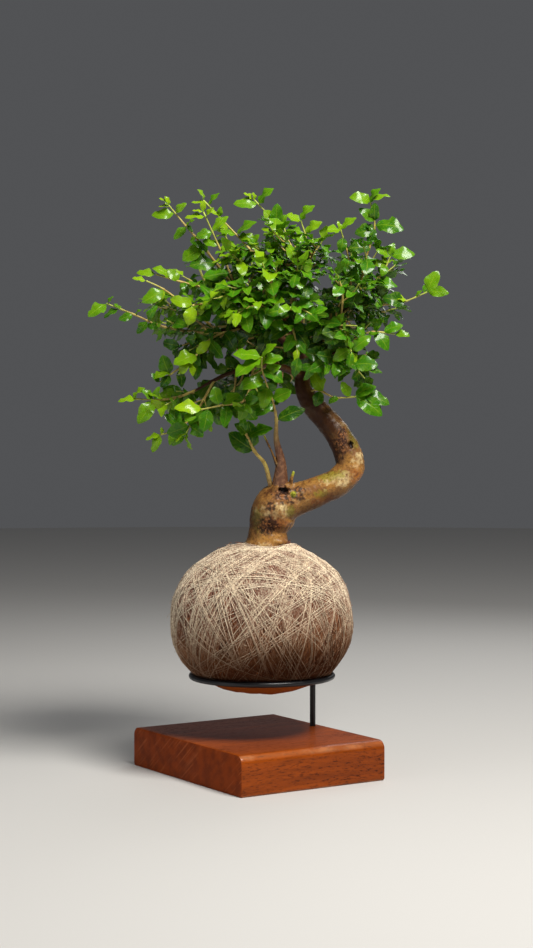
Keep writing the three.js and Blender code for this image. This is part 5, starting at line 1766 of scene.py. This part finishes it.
class KOKEDAMA_OT_shoots(bpy.types.Operator):
    """Grows every leafy shoot of the crown and the sprouts on the old cut"""

    bl_idname = "kokedama.shoots"
    bl_label = "Leafy shoots"

    def execute(self, context):
        settings = context.scene.kokedama_leaf
        kinds = bpy.data.collections.new("leaf_kinds")
        for kind in range(LEAF_KINDS):
            mesh = leaf_kind(kind)
            kinds.objects.link(bpy.data.objects.new(mesh.name, mesh))
        curves = {name: Path(path) for name, (path, _thick) in LIMBS.items()}
        curves["trunk"] = Path([p[:3] for p in TRUNK])
        curves["leader"] = Path([p[:3] for p in TRUNK[-LEADER_POINTS:]])
        curves["knob"] = Path(KNOB_LINE)
        tree, taken[:] = spray_tree(), []
        leaf_finish, twig_finish = leaf_material(settings), twig_material(settings)
        for index, row in enumerate(SHOOTS):
            lines, leaves = shoot_plan(row, index, curves, settings.side_shoots)
            piece = grown("spray_" + row[0], start_mesh(row[0], lines, leaves), tree, **{
                "Leaf kinds": kinds, "Leaf material": leaf_finish, "Twig material": twig_finish})
            finished(piece, "leaf", "shoot_" + row[0])
        lines, leaves = inner_plan(curves, settings.inner_twigs)
        inner = grown("spray_inner", start_mesh("inner", lines, leaves), tree, **{
            "Leaf kinds": kinds, "Leaf material": leaf_finish, "Twig material": twig_finish})
        finished(inner, "leaf")
        for thing in list(kinds.objects):
            bpy.data.objects.remove(thing)
        bpy.data.collections.remove(kinds)
        return {"FINISHED"}


# ---------- stage ----------


def soft_light(name, place, size, power, tint):
    """A round soft light at a place of the plant's frame, aimed at the middle of the plant."""
    data = bpy.data.lights.new(name, "AREA")
    data.shape, data.size, data.energy, data.color = "DISK", size, power, tint
    light = bpy.data.objects.new(name, data)
    bpy.context.scene.collection.objects.link(light)
    light.location = to_row([place])[0]
    aim = Vector(to_row([LIGHTS_AIM])[0]) - light.location
    light.rotation_euler = aim.to_track_quat("-Z", "Y").to_euler()


class KOKEDAMA_OT_stage(bpy.types.Operator):
    """Sets the camera, the lights and the floor"""

    bl_idname = "kokedama.stage"
    bl_label = "Stage"

    def execute(self, context):
        settings, scene = context.scene.kokedama_stage, context.scene
        camera = bpy.data.objects.new("camera", bpy.data.cameras.new("camera"))
        scene.collection.objects.link(camera)
        camera.location = to_row([CAMERA])[0]
        camera.rotation_euler = (math.radians(90 - CAMERA_DOWN), 0, -TURN)
        camera.data.lens, camera.data.sensor_width = LENS, SENSOR
        camera.data.clip_start, camera.data.clip_end = 0.01, 50
        scene.camera = camera
        points, faces = lathe([(0, -FLOOR_THICK), (FLOOR_RADIUS, -FLOOR_THICK), (FLOOR_RADIUS, 0),
                               (0, 0)], 96, (0, 0))
        floor = new_object("floor", new_mesh("floor", to_row(points), faces))
        floor.data.materials.append(floor_material(settings))
        soft_light("key_light", (420, -600, 1150), 0.5, settings.key, (1.0, 0.97, 0.92))
        soft_light("fill_light", (-900, -600, 450), 0.9, settings.fill, (0.93, 0.96, 1.0))
        soft_light("back_light", (350, 800, 700), 0.6, settings.fill, (1.0, 1.0, 1.0))
        world = bpy.data.worlds.new("surroundings")
        scene.world = world
        world.use_nodes = True
        background = world.node_tree.nodes["Background"]
        background.inputs[0].default_value = (0.93, 0.95, 1.0, 1)
        background.inputs[1].default_value = settings.world
        scene.view_settings.view_transform = "Standard"
        return {"FINISHED"}


# ---------- add-on ----------


class KOKEDAMA_PT_panel(bpy.types.Panel):
    """Lists the steps of the build"""

    bl_label = "Kokedama"
    bl_idname = "KOKEDAMA_PT_panel"
    bl_space_type = "VIEW_3D"
    bl_region_type = "UI"
    bl_category = "Kokedama"

    def draw(self, context):
        for part in SETTINGS:
            box = self.layout.box()
            box.label(text=part.capitalize())
            for name in SETTINGS[part].__annotations__:
                box.prop(getattr(context.scene, "kokedama_" + part), name)
        for operator in OPERATORS:
            self.layout.operator(operator.bl_idname)


OPERATORS = (KOKEDAMA_OT_stage, KOKEDAMA_OT_block, KOKEDAMA_OT_stand, KOKEDAMA_OT_ball,
             KOKEDAMA_OT_trunk, KOKEDAMA_OT_shoots)
CLASSES = (*SETTINGS.values(), *OPERATORS, KOKEDAMA_PT_panel)


def register():
    for entry in CLASSES:
        bpy.utils.register_class(entry)
    for part, group in SETTINGS.items():
        setattr(bpy.types.Scene, "kokedama_" + part, bpy.props.PointerProperty(type=group))


def unregister():
    for part in SETTINGS:
        delattr(bpy.types.Scene, "kokedama_" + part)
    for entry in reversed(CLASSES):
        bpy.utils.unregister_class(entry)


def main():
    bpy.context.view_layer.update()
    register()
    for operator in OPERATORS:
        name = operator.bl_idname.split(".")[1]
        getattr(bpy.ops.kokedama, name)()


if __name__ == "__main__":
    main()
